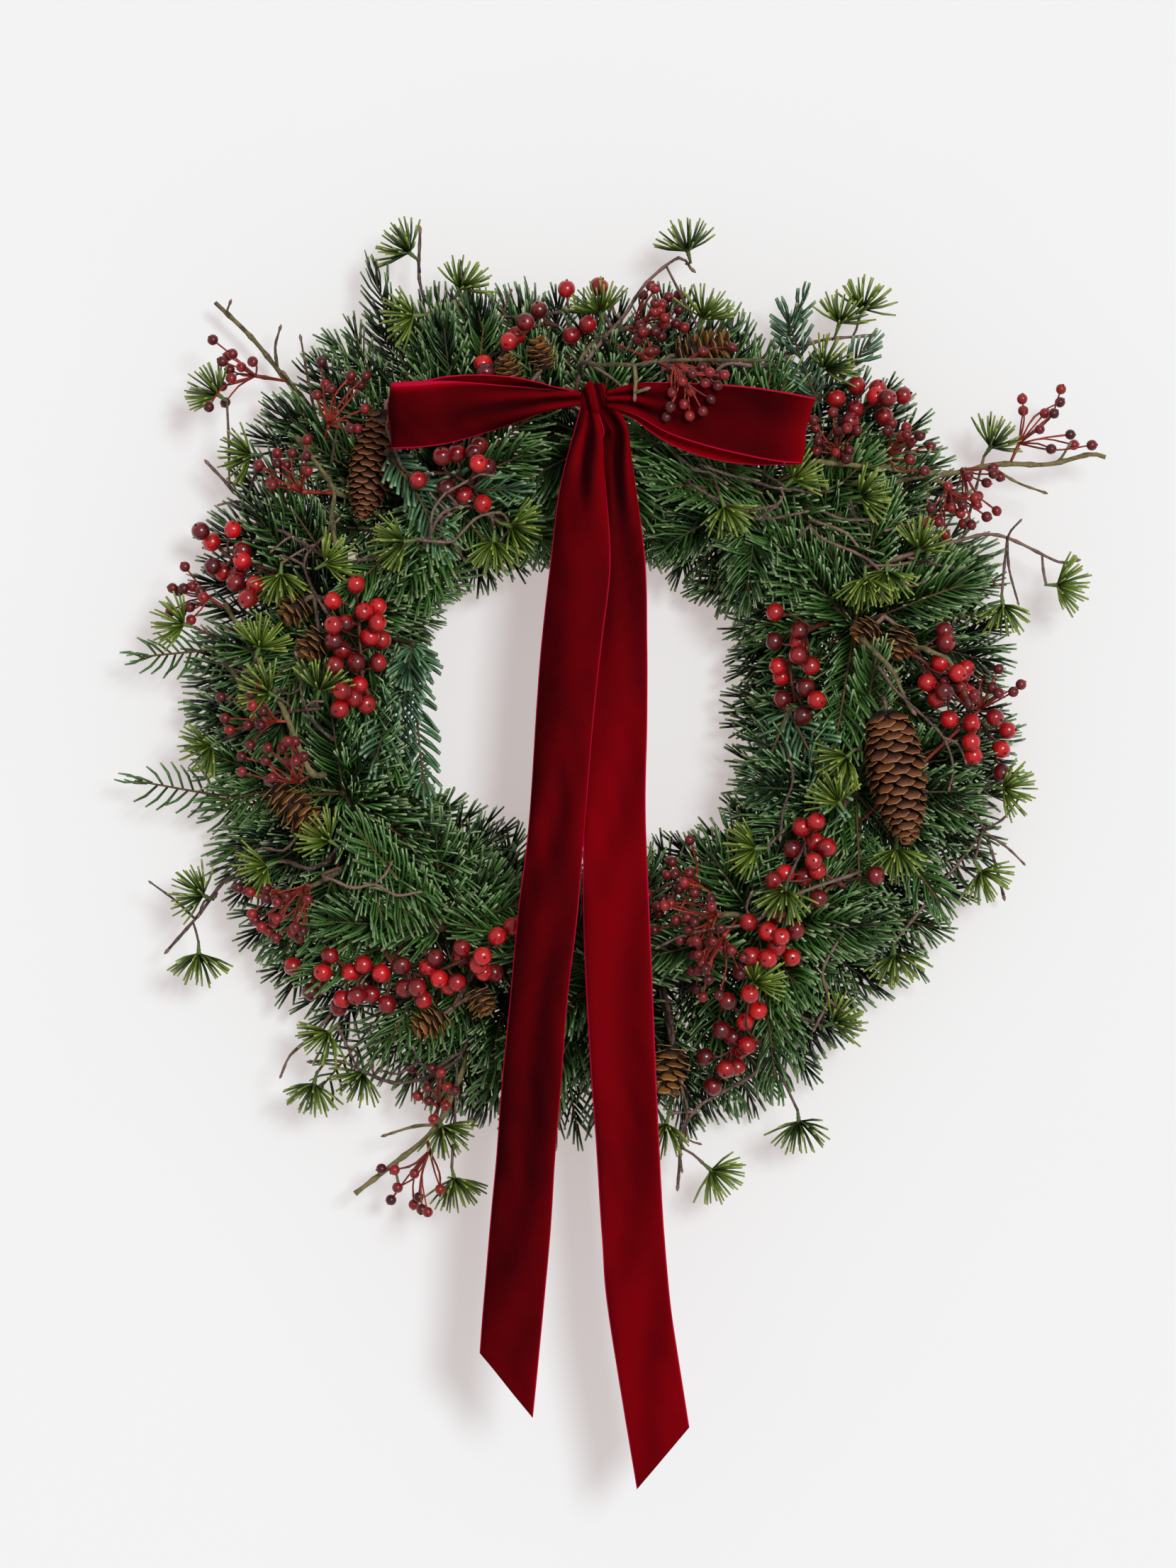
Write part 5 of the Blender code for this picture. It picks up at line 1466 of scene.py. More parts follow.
def lay_over_loop(bm, piece):
    """The twig that reaches over the right loop with a head of berries hanging before the ribbon."""
    def spots_of(rows):
        return [place(row[:2], row[2] * MM) for row in rows]

    points = spots_of(OVER_LOOP)
    points = [join_point(piece.path, points[0])] + points
    grow_twig(bm, points, DUSTY_STEM * 0.8, DUSTY_STEM * 0.45, "olive_twig", knots=12 * MM)
    for rows in OVER_LOOP_SIDES:
        lay_bud(bm, grow_twig(
            bm, spots_of(rows), DUSTY_STEM * 0.6, DUSTY_STEM * 0.5, "olive_twig", knots=6 * MM
        ))
    hub, middle = spots_of(OVER_LOOP_HEAD)
    axis = way_to(hub, middle)
    spots = []
    for _ in range(200):
        if len(spots) == HEAD_COUNT + 4:
            break
        way = leaning(axis, Vector((-axis.z, 0, axis.x)), either(46))
        spot = hub + way * (middle - hub).length * rng.uniform(0.5, 1.45)
        spot.y = hub.y + rng.uniform(-4, 3) * MM
        if apart(spot, spots) > SMALL_BERRY_RADIUS * 2.2:
            spots.append(spot)
    for spot in spots:
        lay_berry(bm, small_berry, hub, spot, HEAD_STEM, "orange_stalk")


def lay_cone(bm, foot, tip, radius):
    """A cone: a dark spindle with scales all round it, closer and smaller towards its tip."""
    axis, length = way_to(foot, tip), (tip - foot).length
    build = "slim" if length / (2 * radius) > 1.7 else "broad"
    tone, begin, run, full, core, size, steep, wide, thick, deep = CONE_BUILDS[build]
    size = radius * size

    def girth(share):
        return radius * math.sin(math.pi * min(1.0, begin + run * share)) ** full

    steps = 9
    points = [foot + axis * length * 0.94 * k / steps for k in range(steps + 1)]
    radii = [max(0.8 * MM, girth(k / steps) * core) for k in range(steps + 1)]
    gather(bm, stem(points, radii, 9), "cone_core", 0.0, 9)
    count = round(length * radius * math.tau * 0.62 / (size * size * 0.42))
    for index in range(count):
        share = (index + 0.3) / count
        out = beside_axis(axis, index * GOLDEN_TURN + either(0.05))
        lean = steep * (1 - 0.6 * share) + 12 + either(8)
        way = leaning(axis, out, lean)
        here = size * (1 - 0.4 * share ** 3) * rng.uniform(0.88, 1.08)
        inside = here * math.sin(math.radians(lean)) * deep
        root = foot + axis * (length * 0.9 * share) + out * max(0.0, girth(share) * 0.95 - inside)
        up = (out - way * (out @ way)).normalized()
        matrix = stood(root, up.cross(way) * here * wide, up * here * thick, way * here)
        scale.put(bm, matrix, tone + either(0.35))


def colour(code):
    """A colour from its six hexadecimal digits, in the linear light that shaders work in."""
    parts = [int(code[k:k + 2], 16) / 255 for k in (0, 2, 4)]
    linear = [part / 12.92 if part <= 0.04045 else ((part + 0.055) / 1.055) ** 2.4 for part in parts]
    return (*linear, 1)


class Value:
    """A shader socket that carries a number, so that its maths is written as plain expressions."""

    def __init__(self, finish, socket):
        self.finish, self.socket = finish, socket

    def __add__(self, other):
        return self.finish.maths("ADD", self, other)

    def __sub__(self, other):
        return self.finish.maths("SUBTRACT", self, other)

    def __rsub__(self, other):
        return self.finish.maths("SUBTRACT", other, self)

    def __mul__(self, other):
        return self.finish.maths("MULTIPLY", self, other)

    __radd__, __rmul__ = __add__, __mul__


class Finish:
    """One material: its surface shader, and the few node calls that its pattern is written with."""

    def __init__(self, name, **constants):
        self.material = bpy.data.materials.new(name)
        self.material.use_nodes = True
        self.tree = self.material.node_tree
        self.shader = self.tree.nodes["Principled BSDF"]
        for words, value in constants.items():
            self.shader.inputs[words.replace("_", " ").title().replace("Ior", "IOR")].default_value = value

    def feed(self, socket, value):
        if isinstance(value, Value):
            self.tree.links.new(value.socket, socket)
        else:
            socket.default_value = value

    def node(self, kind, settings, sockets, output=0):
        """A node of this type: its settings first, then its sockets."""
        made = self.tree.nodes.new(kind)
        for word, value in settings.items():
            setattr(made, word, value)
        for socket, value in sockets.items():
            self.feed(made.inputs[socket], value)
        return Value(self, made.outputs[output])

    def maths(self, operation, *values):
        return self.node("ShaderNodeMath", {"operation": operation}, dict(enumerate(values)))

    def attribute(self, name):
        return self.node("ShaderNodeAttribute", {"attribute_name": name}, {}, "Fac")

    def object_place(self):
        return self.node("ShaderNodeTexCoord", {}, {}, "Object")

    def noise(self, scale, detail):
        sockets = {"Vector": self.object_place(), "Scale": scale, "Detail": detail}
        return self.node("ShaderNodeTexNoise", {}, sockets, "Fac")

    def between(self, value, low, high):
        """A number brought to 0 at low and 1 at high, smoothly."""
        sockets = {"Value": value, "From Min": low, "From Max": high}
        return self.node("ShaderNodeMapRange", {"interpolation_type": "SMOOTHSTEP"}, sockets)

    def mix(self, factor, first, second):
        return self.node("ShaderNodeMix", {"data_type": "RGBA"}, {0: factor, 6: first, 7: second}, 2)

    def bump(self, height, depth, strength):
        sockets = {"Height": height, "Distance": depth, "Strength": strength}
        self.set("Normal", self.node("ShaderNodeBump", {}, sockets))

    def set(self, socket, value):
        self.feed(self.shader.inputs[socket], value)


def needle_finish(name, dark, light, tip, gloss):
    """Moulded needles: darker towards the wall by painted shade, each of its own tone, paler at the blunt
    tip.
    """
    finish = Finish(name, roughness=gloss)
    along, tint = finish.attribute("along"), finish.attribute("tint")
    patch = finish.noise(38, 2)
    out = finish.node("ShaderNodeSeparateXYZ", {}, {"Vector": finish.object_place()}, 1)
    # Painted shade: the nearer to the wall a needle lies, the darker it is.
    near = finish.between(0 - out, -0.005, 0.062)
    shade = finish.between(tint * 0.45 + patch + along * 0.25 + near * 0.3, 0.3, 1.15)
    body = finish.mix(shade, colour(dark), colour(light))
    finish.set("Base Color", finish.mix(finish.between(along, 0.72, 1.0), body, colour(tip)))
    finish.set("Roughness", 0.2 * finish.noise(900, 1) + (gloss - 0.1))
    finish.bump(finish.noise(1500, 2), 0.15 * MM, 0.5)
    return finish.material


def bark_finish(name, dark, light, grain, gloss):
    finish = Finish(name, roughness=gloss)
    tint = finish.attribute("tint")
    streak = finish.noise(grain, 4)
    blotch = finish.noise(90, 2)
    shade = finish.between(streak * 0.7 + blotch * 0.5 + tint * 0.25, 0.35, 0.85)
    finish.set("Base Color", finish.mix(shade, colour(dark), colour(light)))
    finish.set("Roughness", 0.25 * streak + (gloss - 0.1))
    finish.bump(streak, 0.5 * MM, 0.8)
    return finish.material


def berry_finish(name, deep, bright, gloss, coat):
    """Lacquered berries: a warmer cheek to one side, painted shade that darkens them round the stalk, and a
    thin clear coat.
    """
    finish = Finish(name, roughness=gloss, coat_weight=coat, coat_roughness=0.14)
    along, tint = finish.attribute("along"), finish.attribute("tint")
    cheek = finish.noise(70, 1)
    # Painted shade: darker towards the stalk, where along is low.
    shade = finish.between(cheek + tint * 0.85 + along * 0.3, 0.2, 1.25)
    body = finish.mix(shade, colour(deep), colour(bright))
    speck = finish.between(finish.noise(1100, 2), 0.64, 0.74)
    finish.set("Base Color", finish.mix(speck * 0.35, body, colour(deep)))
    finish.set("Roughness", 0.18 * finish.noise(420, 2) + (gloss - 0.08))
    finish.bump(finish.noise(520, 2), 0.12 * MM, 0.5)
    return finish.material


def cone_finish(name, dark, body_colour, lip):
    """Cone scales: dark at the root, brown across, and worn pale gold at the lip."""
    finish = Finish(name, roughness=0.6)
    along, tint = finish.attribute("along"), finish.attribute("tint")
    grain = finish.noise(700, 3)
    shade = finish.between(along + tint * 0.3 + grain * 0.6, 0.4, 1.0)
    body = finish.mix(shade, colour(dark), colour(body_colour))
    body = finish.mix(finish.between(tint, 0.0, 0.8) * 0.65, body, colour("a87430"))
    worn = finish.between(along + grain * 0.16 + tint * 0.08, 0.92, 1.06)
    finish.set("Base Color", finish.mix(worn, body, colour(lip)))
    finish.set("Roughness", 0.3 * grain + 0.42)
    finish.bump(grain, 0.4 * MM, 0.7)
    return finish.material


def velvet_finish(name):
    """Crimson velvet: nearly black face on, bright where it turns away, its pile painted with light and shade
    and pink at the strongest painted highlight, with a bright woven selvage.
    """
    finish = Finish(
        name, roughness=0.8, sheen_weight=0.4, sheen_roughness=0.3, sheen_tint=(0.8, 0.0, 0.03, 1),
        specular_ior_level=0.02,
    )
    weave = finish.node("ShaderNodeUVMap", {"uv_map": "ribbon"}, {})
    across = finish.node("ShaderNodeSeparateXYZ", {}, {"Vector": weave}, 0)
    from_edge = finish.maths("MINIMUM", across, 1 - across)
    nap_and_painted_light = finish.noise(1400, 3)
    crush = finish.noise(30, 3)
    painted_light = finish.attribute("nap_and_painted_light")
    # The pile's colour follows its fine nap, its crushed patches and the painted light and shade that each
    # point carries.
    shade = finish.between(nap_and_painted_light * 0.3 + crush * 0.25 + painted_light, 0.1, 1.3)
    pile = finish.mix(shade, colour("240003"), colour("8c000c"))
    # Where the painted light is strongest the pile turns pink, as a painted highlight.
    painted_highlight = finish.between(painted_light, 1.1, 1.7)
    selvage = 1 - finish.between(from_edge, 0.02, 0.036)
    edged = finish.mix(selvage, pile, colour("b81034"))
    finish.set("Base Color", finish.mix(painted_highlight, edged, colour("b40e34")))
    finish.set("Roughness", 0.2 * crush + 0.62)
    finish.bump(nap_and_painted_light * 0.6 + crush * 2.0, 0.35 * MM, 0.6)
    return finish.material


FINISHES = (
    (bark_finish, "vine_bark", "1a1210", "4a3628", 420, 0.8),
    (needle_finish, "spruce_green", "0b1b0a", "4b7436", "94ae78", 0.27),
    (needle_finish, "fir_green", "1a3220", "4e7850", "8cac88", 0.4),
    (needle_finish, "lime_green", "22360c", "70882a", "9ca84c", 0.42),
    (bark_finish, "bough_stem", "18220e", "604420", 600, 0.65),
    (needle_finish, "socket_green", "2f4414", "5f7a30", "7f8f44", 0.5),
    (bark_finish, "ringed_twig", "33211f", "86665a", 500, 0.6),
    (bark_finish, "olive_twig", "38301c", "80744c", 380, 0.8),
    (berry_finish, "glossy_berry", "4c060c", "c81016", 0.28, 0.4),
    (bark_finish, "berry_calyx", "1e0806", "4a1c14", 800, 0.7),
    (bark_finish, "dark_stalk", "2c100c", "6a2c1c", 600, 0.55),
    (berry_finish, "dusty_skin", "480a10", "962020", 0.34, 0.0),
    (bark_finish, "orange_stalk", "661612", "a83422", 600, 0.5),
    (cone_finish, "cone_brown", "200c06", "74401f", "a87848"),
    (bark_finish, "cone_core", "140a06", "30180c", 500, 0.8),
    (velvet_finish, "crimson_velvet"),
)
FINISH_NAMES = [row[1] for row in FINISHES]


VINE_STRANDS = 22
LOOSE_STRANDS = 12
LOOSE_REACH = (14 * MM, 30 * MM)
VINE_STEP = 8 * MM
RIBBON_SHEET = 0.6 * MM
RIBBON_STEP = 2.8 * MM
RIBBON_CELLS = 24
EDGE_ROLL = 1.1 * MM
# Each strip's run of painted light and shade from its root to its end, then how many folds it is gathered
# into at the knot, how deep they are, and where they begin.
STRIPS = {
    "bow_tail_left": ((0.1, 0.25, 0.2, 0.22, 0.14, 0.06, 0.2, 0.28), 1.6, 2.2 * MM, 0.5),
    "bow_tail_right": ((0.05, 0.12, 0.42, 0.54, 0.42, 0.36, 0.44, 0.52), 2.2, 2.2 * MM, 0.1),
    "bow_loop_left": ((0.08, 0.06, 0.1, 0.2, 0.3, 0.3, 0.3, 0.25), 2.1, 1.7 * MM, 0.3),
    "bow_loop_right": ((0.1, 0.12, 0.15, 0.15, 0.6, 0.8, 0.8, 0.6), 2.6, 1.9 * MM, 0.05),
}
# How each tail is drawn up under the knot: over what length, by what power of its breadth, and which way.
TAIL_RISES = {
    "bow_tail_left": (9 * MM, 0, (0, 1.5 * MM, 5 * MM)),
    "bow_tail_right": (13 * MM, 1.6, (3 * MM, -2.5 * MM, 12 * MM)),
}
KNOT_CELLS = (40, 48)


def lay_ring(bm):
    """Strands of vine that wind round each other and round a dark core, all the way round."""
    circle = bmesh.ops.create_circle(
        bm, segments=12, radius=RING_TUBE * 0.62, matrix=Matrix.Translation((RING_RADIUS, 0, 0))
    )["verts"]
    edges = list({edge for vert in circle for edge in vert.link_edges})
    turned = Matrix.Rotation(math.pi / 2, 3, "X")
    bmesh.ops.rotate(bm, cent=(RING_RADIUS, 0, 0), matrix=turned, verts=circle)
    bmesh.ops.spin(
        bm, geom=circle + edges, cent=(0, 0, 0), axis=(0, 0, 1), angle=math.tau, steps=96, use_merge=True,
    )
    bmesh.ops.recalc_face_normals(bm, faces=bm.faces)
    bmesh.ops.transform(bm, matrix=RING_UPRIGHT, verts=bm.verts)
    paint(bm.faces, "vine_bark")
    count = round(math.tau * 1.02 * RING_RADIUS / VINE_STEP)
    for index in range(VINE_STRANDS):
        radius = rng.uniform(1.3, 2.7) * MM
        depth = RING_TUBE - radius - rng.uniform(0, 2.5) * MM
        twists = rng.choice((4, 5, 6, 7, 9)) + either(0.3)
        phase, begin = math.tau * index / VINE_STRANDS, rng.uniform(0, math.tau)
        points = []
        for k in range(count + 1):
            share = k / count
            angle = begin + math.tau * 1.02 * share
            wander = 0.25 * math.sin(5 * angle + phase) + 0.15 * math.sin(11 * angle + 2 * phase)
            around = phase + twists * math.tau * share + wander
            out = depth * min(1.0, 0.35 + 8 * share, 0.35 + 8 * (1 - share))
            points.append(polar(angle, RING_RADIUS + out * math.cos(around), out * math.sin(around)))
        radii = [radius * (1 + 0.12 * math.sin(k * 1.7 + phase)) for k in range(count + 1)]
        gather(bm, stem(points, radii, 6), "vine_bark", either(0.5), 6)
    for index in range(LOOSE_STRANDS):
        phase, begin = rng.uniform(0, math.tau), rng.uniform(0, math.tau)
        reach, waves = rng.uniform(*LOOSE_REACH), rng.choice((3, 4, 5, 7))
        points = []
        for k in range(count + 1):
            angle = begin + math.tau * 0.98 * k / count
            swing = math.sin(waves * angle + phase) + 0.25 * math.sin((2 * waves + 1) * angle)
            forward = 8 * MM * math.cos((waves + 2) * angle + phase)
            points.append(polar(angle, RING_RADIUS + reach * swing, forward))
        radii = [rng.uniform(0.6, 0.8) * MM for _ in points]
        gather(bm, stem(points, radii, 5), "vine_bark", rng.uniform(-0.8, 0.0), 5)


def blended(rows, places):
    """Rows blended at places along them, on a smooth curve through them all."""
    last = len(rows) - 1
    index = np.clip(places.astype(int), 0, last - 1)
    t = (places - index).reshape(-1, *([1] * (rows.ndim - 1)))
    before, after = np.maximum(index - 1, 0), np.minimum(index + 2, last)
    return curve_at(rows[before], rows[index], rows[index + 1], rows[after], t)


def facing_of(patch):
    """Which way a patch of cloth faces at each of its points."""
    facing = np.cross(np.gradient(patch, axis=0), np.gradient(patch, axis=1))
    return facing / np.linalg.norm(facing, axis=2)[:, :, None]


def velvet_strip(across_cells, cells, spot_of):
    """A strip of velvet with each point where it is told to be, and the painted light and shade of its pile
    there.
    """
    bm = bmesh.new()
    bm.loops.layers.uv.new("ribbon")
    # This layer holds each point's painted light and shade.
    pile = bm.verts.layers.float.new("nap_and_painted_light")
    bmesh.ops.create_grid(bm, x_segments=across_cells, y_segments=cells, size=0.5, calc_uvs=True)
    for vert in bm.verts:
        vert.co, vert[pile] = spot_of(vert.co.x, vert.co.y)
    paint(bm.faces, "crimson_velvet")
    return bm


def ribbon(name, rows):
    """A strip of velvet over the plan's rows, with its gathers, its long soft waves, its rolled edges and its
    painted light and shade.
    """
    rows = np.array([[tuple(point) for point in row] for row in rows])
    reached = run_of(rows.mean(axis=1))
    length = float(reached[-1])
    cells = round(length / RIBBON_STEP)
    share = np.linspace(0, 1, cells + 1)
    across = np.linspace(0, 1, RIBBON_CELLS + 1)
    columns = blended(rows, np.interp(share * length, reached, np.arange(len(rows)))).transpose(1, 0, 2)
    patch = blended(columns, across * (rows.shape[1] - 1)).transpose(1, 0, 2)
    across, share = across[None, :], share[:, None]
    run = share * length
    width = np.linalg.norm(patch[:, -1:] - patch[:, :1], axis=2)
    narrow = np.clip(1 - width / RIBBON_WIDTH, 0, 1)
    nap_and_painted_light, folds, depth, begin = STRIPS[name]
    ridge = np.cos(math.tau * (folds * across + begin + 0.1 * np.sin(run * 34)))
    wave = 0.9 * MM * np.sin(math.tau * (1.2 * across + run / 0.19) + 2 * np.sin(run * 23))
    ruck = 0.35 * MM * np.sin(run * 260 + 5 * np.sin(across * 4 + run * 31)) * (0.3 + narrow)
    roll = -EDGE_ROLL * (np.exp(-across / 0.06) + np.exp(-(1 - across) / 0.06))
    outward = facing_of(patch)
    toward = -np.sign(outward[:, :, 1])
    patch = patch + outward * (narrow ** 0.75 * depth * ridge + wave + ruck + roll)[:, :, None]
    facing = facing_of(patch)
    facing *= -np.sign(facing[:, :, 1:2])
    # Painted light and shade on the pile: the strip's run of shades, brighter where the cloth turns to the
    # light, and painted highlights on the folds' ridges with painted shade in their hollows.
    lit = np.interp(share, np.linspace(0, 1, len(nap_and_painted_light)), nap_and_painted_light)
    lit = lit + (0.9 * facing[:, :, 0] + 0.5 * facing[:, :, 2]) * 0.5 + 0.55 * narrow * ridge * toward
    # A painted highlight along the top edge of the left loop's front, strongest and widest near its end.
    if name == "bow_loop_left":
        near_end = np.exp(-(((share - 0.44) / 0.13) ** 2))
        edge = np.exp(-((across / (0.03 + 0.07 * near_end)) ** 2))
        lit = lit + (2.1 * near_end + 1.0 * (share < 0.5)) * edge
    if name == "bow_loop_right":
        patch[:, :, 2] -= 3.2 * MM * np.sin(math.pi * np.clip((share - 0.5) * 2, 0, 1))
        patch[:, :, 0] -= 8 * MM * (np.exp(-(((share - 0.5) / 0.16) ** 2)) * across ** 1.3)
    if name in TAIL_RISES:
        fade, power, rise = TAIL_RISES[name]
        patch += (np.exp(-run / fade) * across ** power)[:, :, None] * np.array(rise)

    def spot_of(x, y):
        row, column = round((y + 0.5) * cells), round((x + 0.5) * RIBBON_CELLS)
        return patch[row, column], lit[row, column]

    made = dress(name + "_velvet", velvet_strip(RIBBON_CELLS, cells, spot_of), "velvet")
    give_thickness(made)
    return made


def give_thickness(made):
    wall = made.modifiers.new("pile", "SOLIDIFY")
    wall.thickness = RIBBON_SHEET
    wall.offset = 0


def knot_band(middle):
    """The band of the knot: gathered ribbon wrapped round from the front to the back, its ends lapped."""
    width, depth, height = KNOT_SIZE

    def spot_of(x, y):
        across, wound = x * 2, y + 0.5
        turn = wound * math.tau * 1.04 + math.pi / 2
        barrel = 1 - 0.46 * across * across + 0.07 * math.sin(turn * 2 + 1)
        slanted = across + 0.34 * math.cos(turn) + 0.1 * math.sin(2 * turn)
        crease = math.cos(slanted * math.pi * 1.7 + 0.5)
        tuck = math.cos(slanted * math.pi * 3.9 - 0.6 + math.sin(turn))
        pleat = 1.15 * MM * crease + 0.4 * MM * tuck
        out = (depth / 2 * barrel + pleat - 0.5 * MM * wound) * math.sin(turn)
        up = (height / 2 * barrel + pleat * 0.8 - 0.5 * MM * wound) * math.cos(turn)
        side = across * width / 2 * (1 - 0.05 * tuck) + 0.12 * up * math.sin(turn)
        # Each point's painted light and shade: brighter on the pleats' ridges, darker in their hollows.
        return middle + Vector((side, out, up)), 0.2 + 0.34 * crease + 0.14 * tuck

    bm = velvet_strip(*KNOT_CELLS, spot_of)
    weave = bm.loops.layers.uv["ribbon"]
    for face in bm.faces:
        for corner in face.loops:
            corner[weave].uv.x = 0.1 + 0.8 * corner[weave].uv.x
    bmesh.ops.recalc_face_normals(bm, faces=bm.faces)
    return bm


VIEW_DISTANCE = 5.0
VIEW_PLANE = 45 * MM
VIEW_PIXELS = (1659, 2212)
SENSOR = 36.0
WALL_BEHIND = 21 * MM
WALL_HALF = 1.6
KEY_STRENGTH = 1.92
KEY_SPREAD = 0.24
KEY_WAY = (-0.28, 0.94, -0.2)
SKY_STRENGTH = 0.45
# How strongly the wall glows, though it is no lamp: painted light that keeps its shadows pale.
WALL_GLOW = 0.46


def set_camera():
    """The camera straight in front, as far as keeps the view nearly flat, framed as the photograph is."""
    camera = link("camera", bpy.data.cameras.new("camera"))
    camera.location = place([side / 2 for side in VIEW_PIXELS], VIEW_PLANE) + Vector((0, -VIEW_DISTANCE, 0))
    camera.rotation_euler = (math.pi / 2, 0, 0)
    camera.data.sensor_width = SENSOR
    camera.data.lens = SENSOR * VIEW_DISTANCE / (VIEW_PIXELS[1] * PIXEL)
    camera.data.clip_end = 50
    bpy.context.scene.camera = camera


def add_wall():
    """The pale wall it hangs on, which only shows from the front."""
    bm = bmesh.new()
    facing = Matrix.Translation((0, WALL_BEHIND, CENTRE.z)) @ Matrix.Rotation(math.pi / 2, 4, "X")
    bmesh.ops.create_grid(bm, x_segments=1, y_segments=1, size=WALL_HALF, matrix=facing)
    wall = link("wall", meshed("wall", bm))
    # The wall glows pinkish over a cooler base colour: painted light that keeps the shadows on it pale and
    # warm.
    finish = Finish("wall_paint", roughness=0.9, specular_ior_level=0.0, emission_strength=WALL_GLOW)
    cloud = finish.noise(3, 2)
    finish.set("Base Color", finish.mix(cloud, (0.43, 0.5, 0.51, 1), (0.44, 0.51, 0.52, 1)))
    finish.set("Emission Color", finish.mix(cloud, (0.99, 0.83, 0.81, 1), (1.0, 0.84, 0.82, 1)))
    finish.bump(finish.noise(260, 2), 0.1 * MM, 0.1)
    unseen = finish.node("ShaderNodeBsdfTransparent", {}, {})
    behind = finish.node("ShaderNodeNewGeometry", {}, {}, "Backfacing")
    surface = Value(finish, finish.shader.outputs[0])
    sides = finish.node("ShaderNodeMixShader", {}, {0: behind, 1: surface, 2: unseen})
    finish.feed(finish.tree.nodes["Material Output"].inputs["Surface"], sides)
    wall.data.materials.append(finish.material)


def light_studio():
    world = bpy.context.scene.world or bpy.data.worlds.new("studio")
    bpy.context.scene.world = world
    world.use_nodes = True
    sky = world.node_tree.nodes["Background"]
    sky.inputs["Color"].default_value = (1.0, 1.0, 1.0, 1)
    sky.inputs["Strength"].default_value = SKY_STRENGTH
    key = link("key", bpy.data.lights.new("key", "SUN"))
    key.data.energy, key.data.angle = KEY_STRENGTH, KEY_SPREAD
    key.rotation_euler = Vector(KEY_WAY).to_track_quat("-Z", "Y").to_euler()
    bpy.context.scene.view_settings.view_transform = "Standard"


def dress(name, bm, slot, *nodes):
    """A finished piece that stands for its nodes, with only the finishes that it uses."""
    mesh = meshed(name, bm)
    numbers = np.empty(len(mesh.polygons), np.int32)
    mesh.polygons.foreach_get("material_index", numbers)
    used, own = np.unique(numbers, return_inverse=True)
    for number in used:
        mesh.materials.append(finishes[number])
    mesh.polygons.foreach_set("material_index", own.astype(np.int32))
    made = link(name, mesh)
    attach(made, "root")
    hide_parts(*nodes)
    return made


# The plan, in the order in which the solids were planned.
ring_surface = ring_form()
rng = random.Random(SEED)
room = Room()
bow = plan_bow()
cones = plan_cones()
bunches = plan_stemmed("berry_bunch_", BERRY_BUNCHES, BUNCH_STEM, add_berries)
dusty = plan_stemmed("dusty_twig_", DUSTY_TWIGS, DUSTY_STEM, add_heads)
tufted = plan_stemmed("tuft_twig_", TUFT_TWIGS, TUFT_STEM, add_tufts)
spruce, fir = plan_sprays()

finishes = [make(*measures) for make, *measures in FINISHES]
rng = random.Random(DRESS_SEED)
spruce_needle = needle_form(3, "spruce_green", 0.42, 0.36, 0.65)
back_needle = needle_form(3, "spruce_green", 0.5, 0.4, 0)
fir_needle = needle_form(4, "fir_green", 0.34, 0.5, 0.25)
tuft_needle = needle_form(3, "lime_green", 0.4, 0.42, 0.4)
spruce_forms = bough_forms(spruce_needle, *SPRUCE_BOUGH)
sparse_forms = bough_forms(spruce_needle, *SPARSE_BOUGH)
back_forms = bough_forms(back_needle, *BACK_BOUGH)
fir_forms = bough_forms(fir_needle, *FIR_BOUGH)
tuft_forms = [tuft_form(tuft_needle) for _ in range(TUFT_VARIANTS)]
big_berry = berry_form(16, 10, BIG_BERRY_RADIUS, 1.1 * MM)
small_berry = berry_form(10, 7, SMALL_BERRY_RADIUS, 0.9 * MM)
scale = scale_form()
bud = Form(lathe(BUD_RINGS, 7, "ringed_twig", 0.6))

# The ring, the cones, the berries and the tufts, and what of them has to show among the foliage.
shown = Shown()
bm = blank()
lay_ring(bm)
dress("vine_ring", bm, "vine", "twig_ring")

for piece in cones:
    bm = blank()
    grow_twig(bm, piece.path, CONE_STEM * 1.1, CONE_STEM * 0.9, "ringed_twig")
    for index, (foot, tip, radius) in enumerate(piece.cones):
        lay_cone(bm, foot, tip, radius)
        if index:
            inside = foot + way_to(foot, tip) * 2 * MM
            grow_twig(bm, [piece.path[-3], inside], CONE_STEM * 0.93, CONE_STEM * 0.8, "ringed_twig")
        for k in range(4):
            shown.keep(foot + (tip - foot) * k / 3, radius)
    dress(piece.name + "_scales", bm, "cone_scale", piece.name)

for piece in bunches:
    add_berries(piece, *piece.more, filling=True)
    bm = blank()
    grow_twig(bm, piece.path, BUNCH_STEM * 1.05, BUNCH_STEM * 0.75, "dark_stalk")
    for foot, centre in piece.berries:
        lay_berry(bm, big_berry, foot, centre, BERRY_STEM, "dark_stalk")
        shown.keep(centre, BIG_BERRY_RADIUS)
    dress(piece.name + "_glossy", bm, "red_berry", piece.name)

for piece in dusty:
    more_heads, twiglets = piece.more
    for pixels in more_heads:
        hub = place(pixels[0], foliage_forward(pixels[0]) + 8 * MM)
        piece.heads.append((join_point(piece.path, hub), hub, *head_way(*pixels), []))
    bm = blank()
    grow_twig(bm, piece.path, DUSTY_STEM * 1.05, DUSTY_STEM * 0.75, "olive_twig", sides=8)
    for foot, hub, *head in piece.heads:
        grow_twig(bm, [foot, hub], HEAD_STEM * 1.2, HUB_RADIUS, "orange_stalk", sides=6)
        for spot in fill_head(piece, hub, *head):
            lay_berry(bm, small_berry, hub, spot, HEAD_STEM, "orange_stalk")
            shown.keep(spot, SMALL_BERRY_RADIUS)
    lay_twiglets(bm, piece, twiglets, DUSTY_STEM * 0.6, "olive_twig")
    if piece.name == "dusty_twig_top":
        lay_over_loop(bm, piece)
    dress(piece.name + "_heads", bm, "dusty_berry", piece.name)

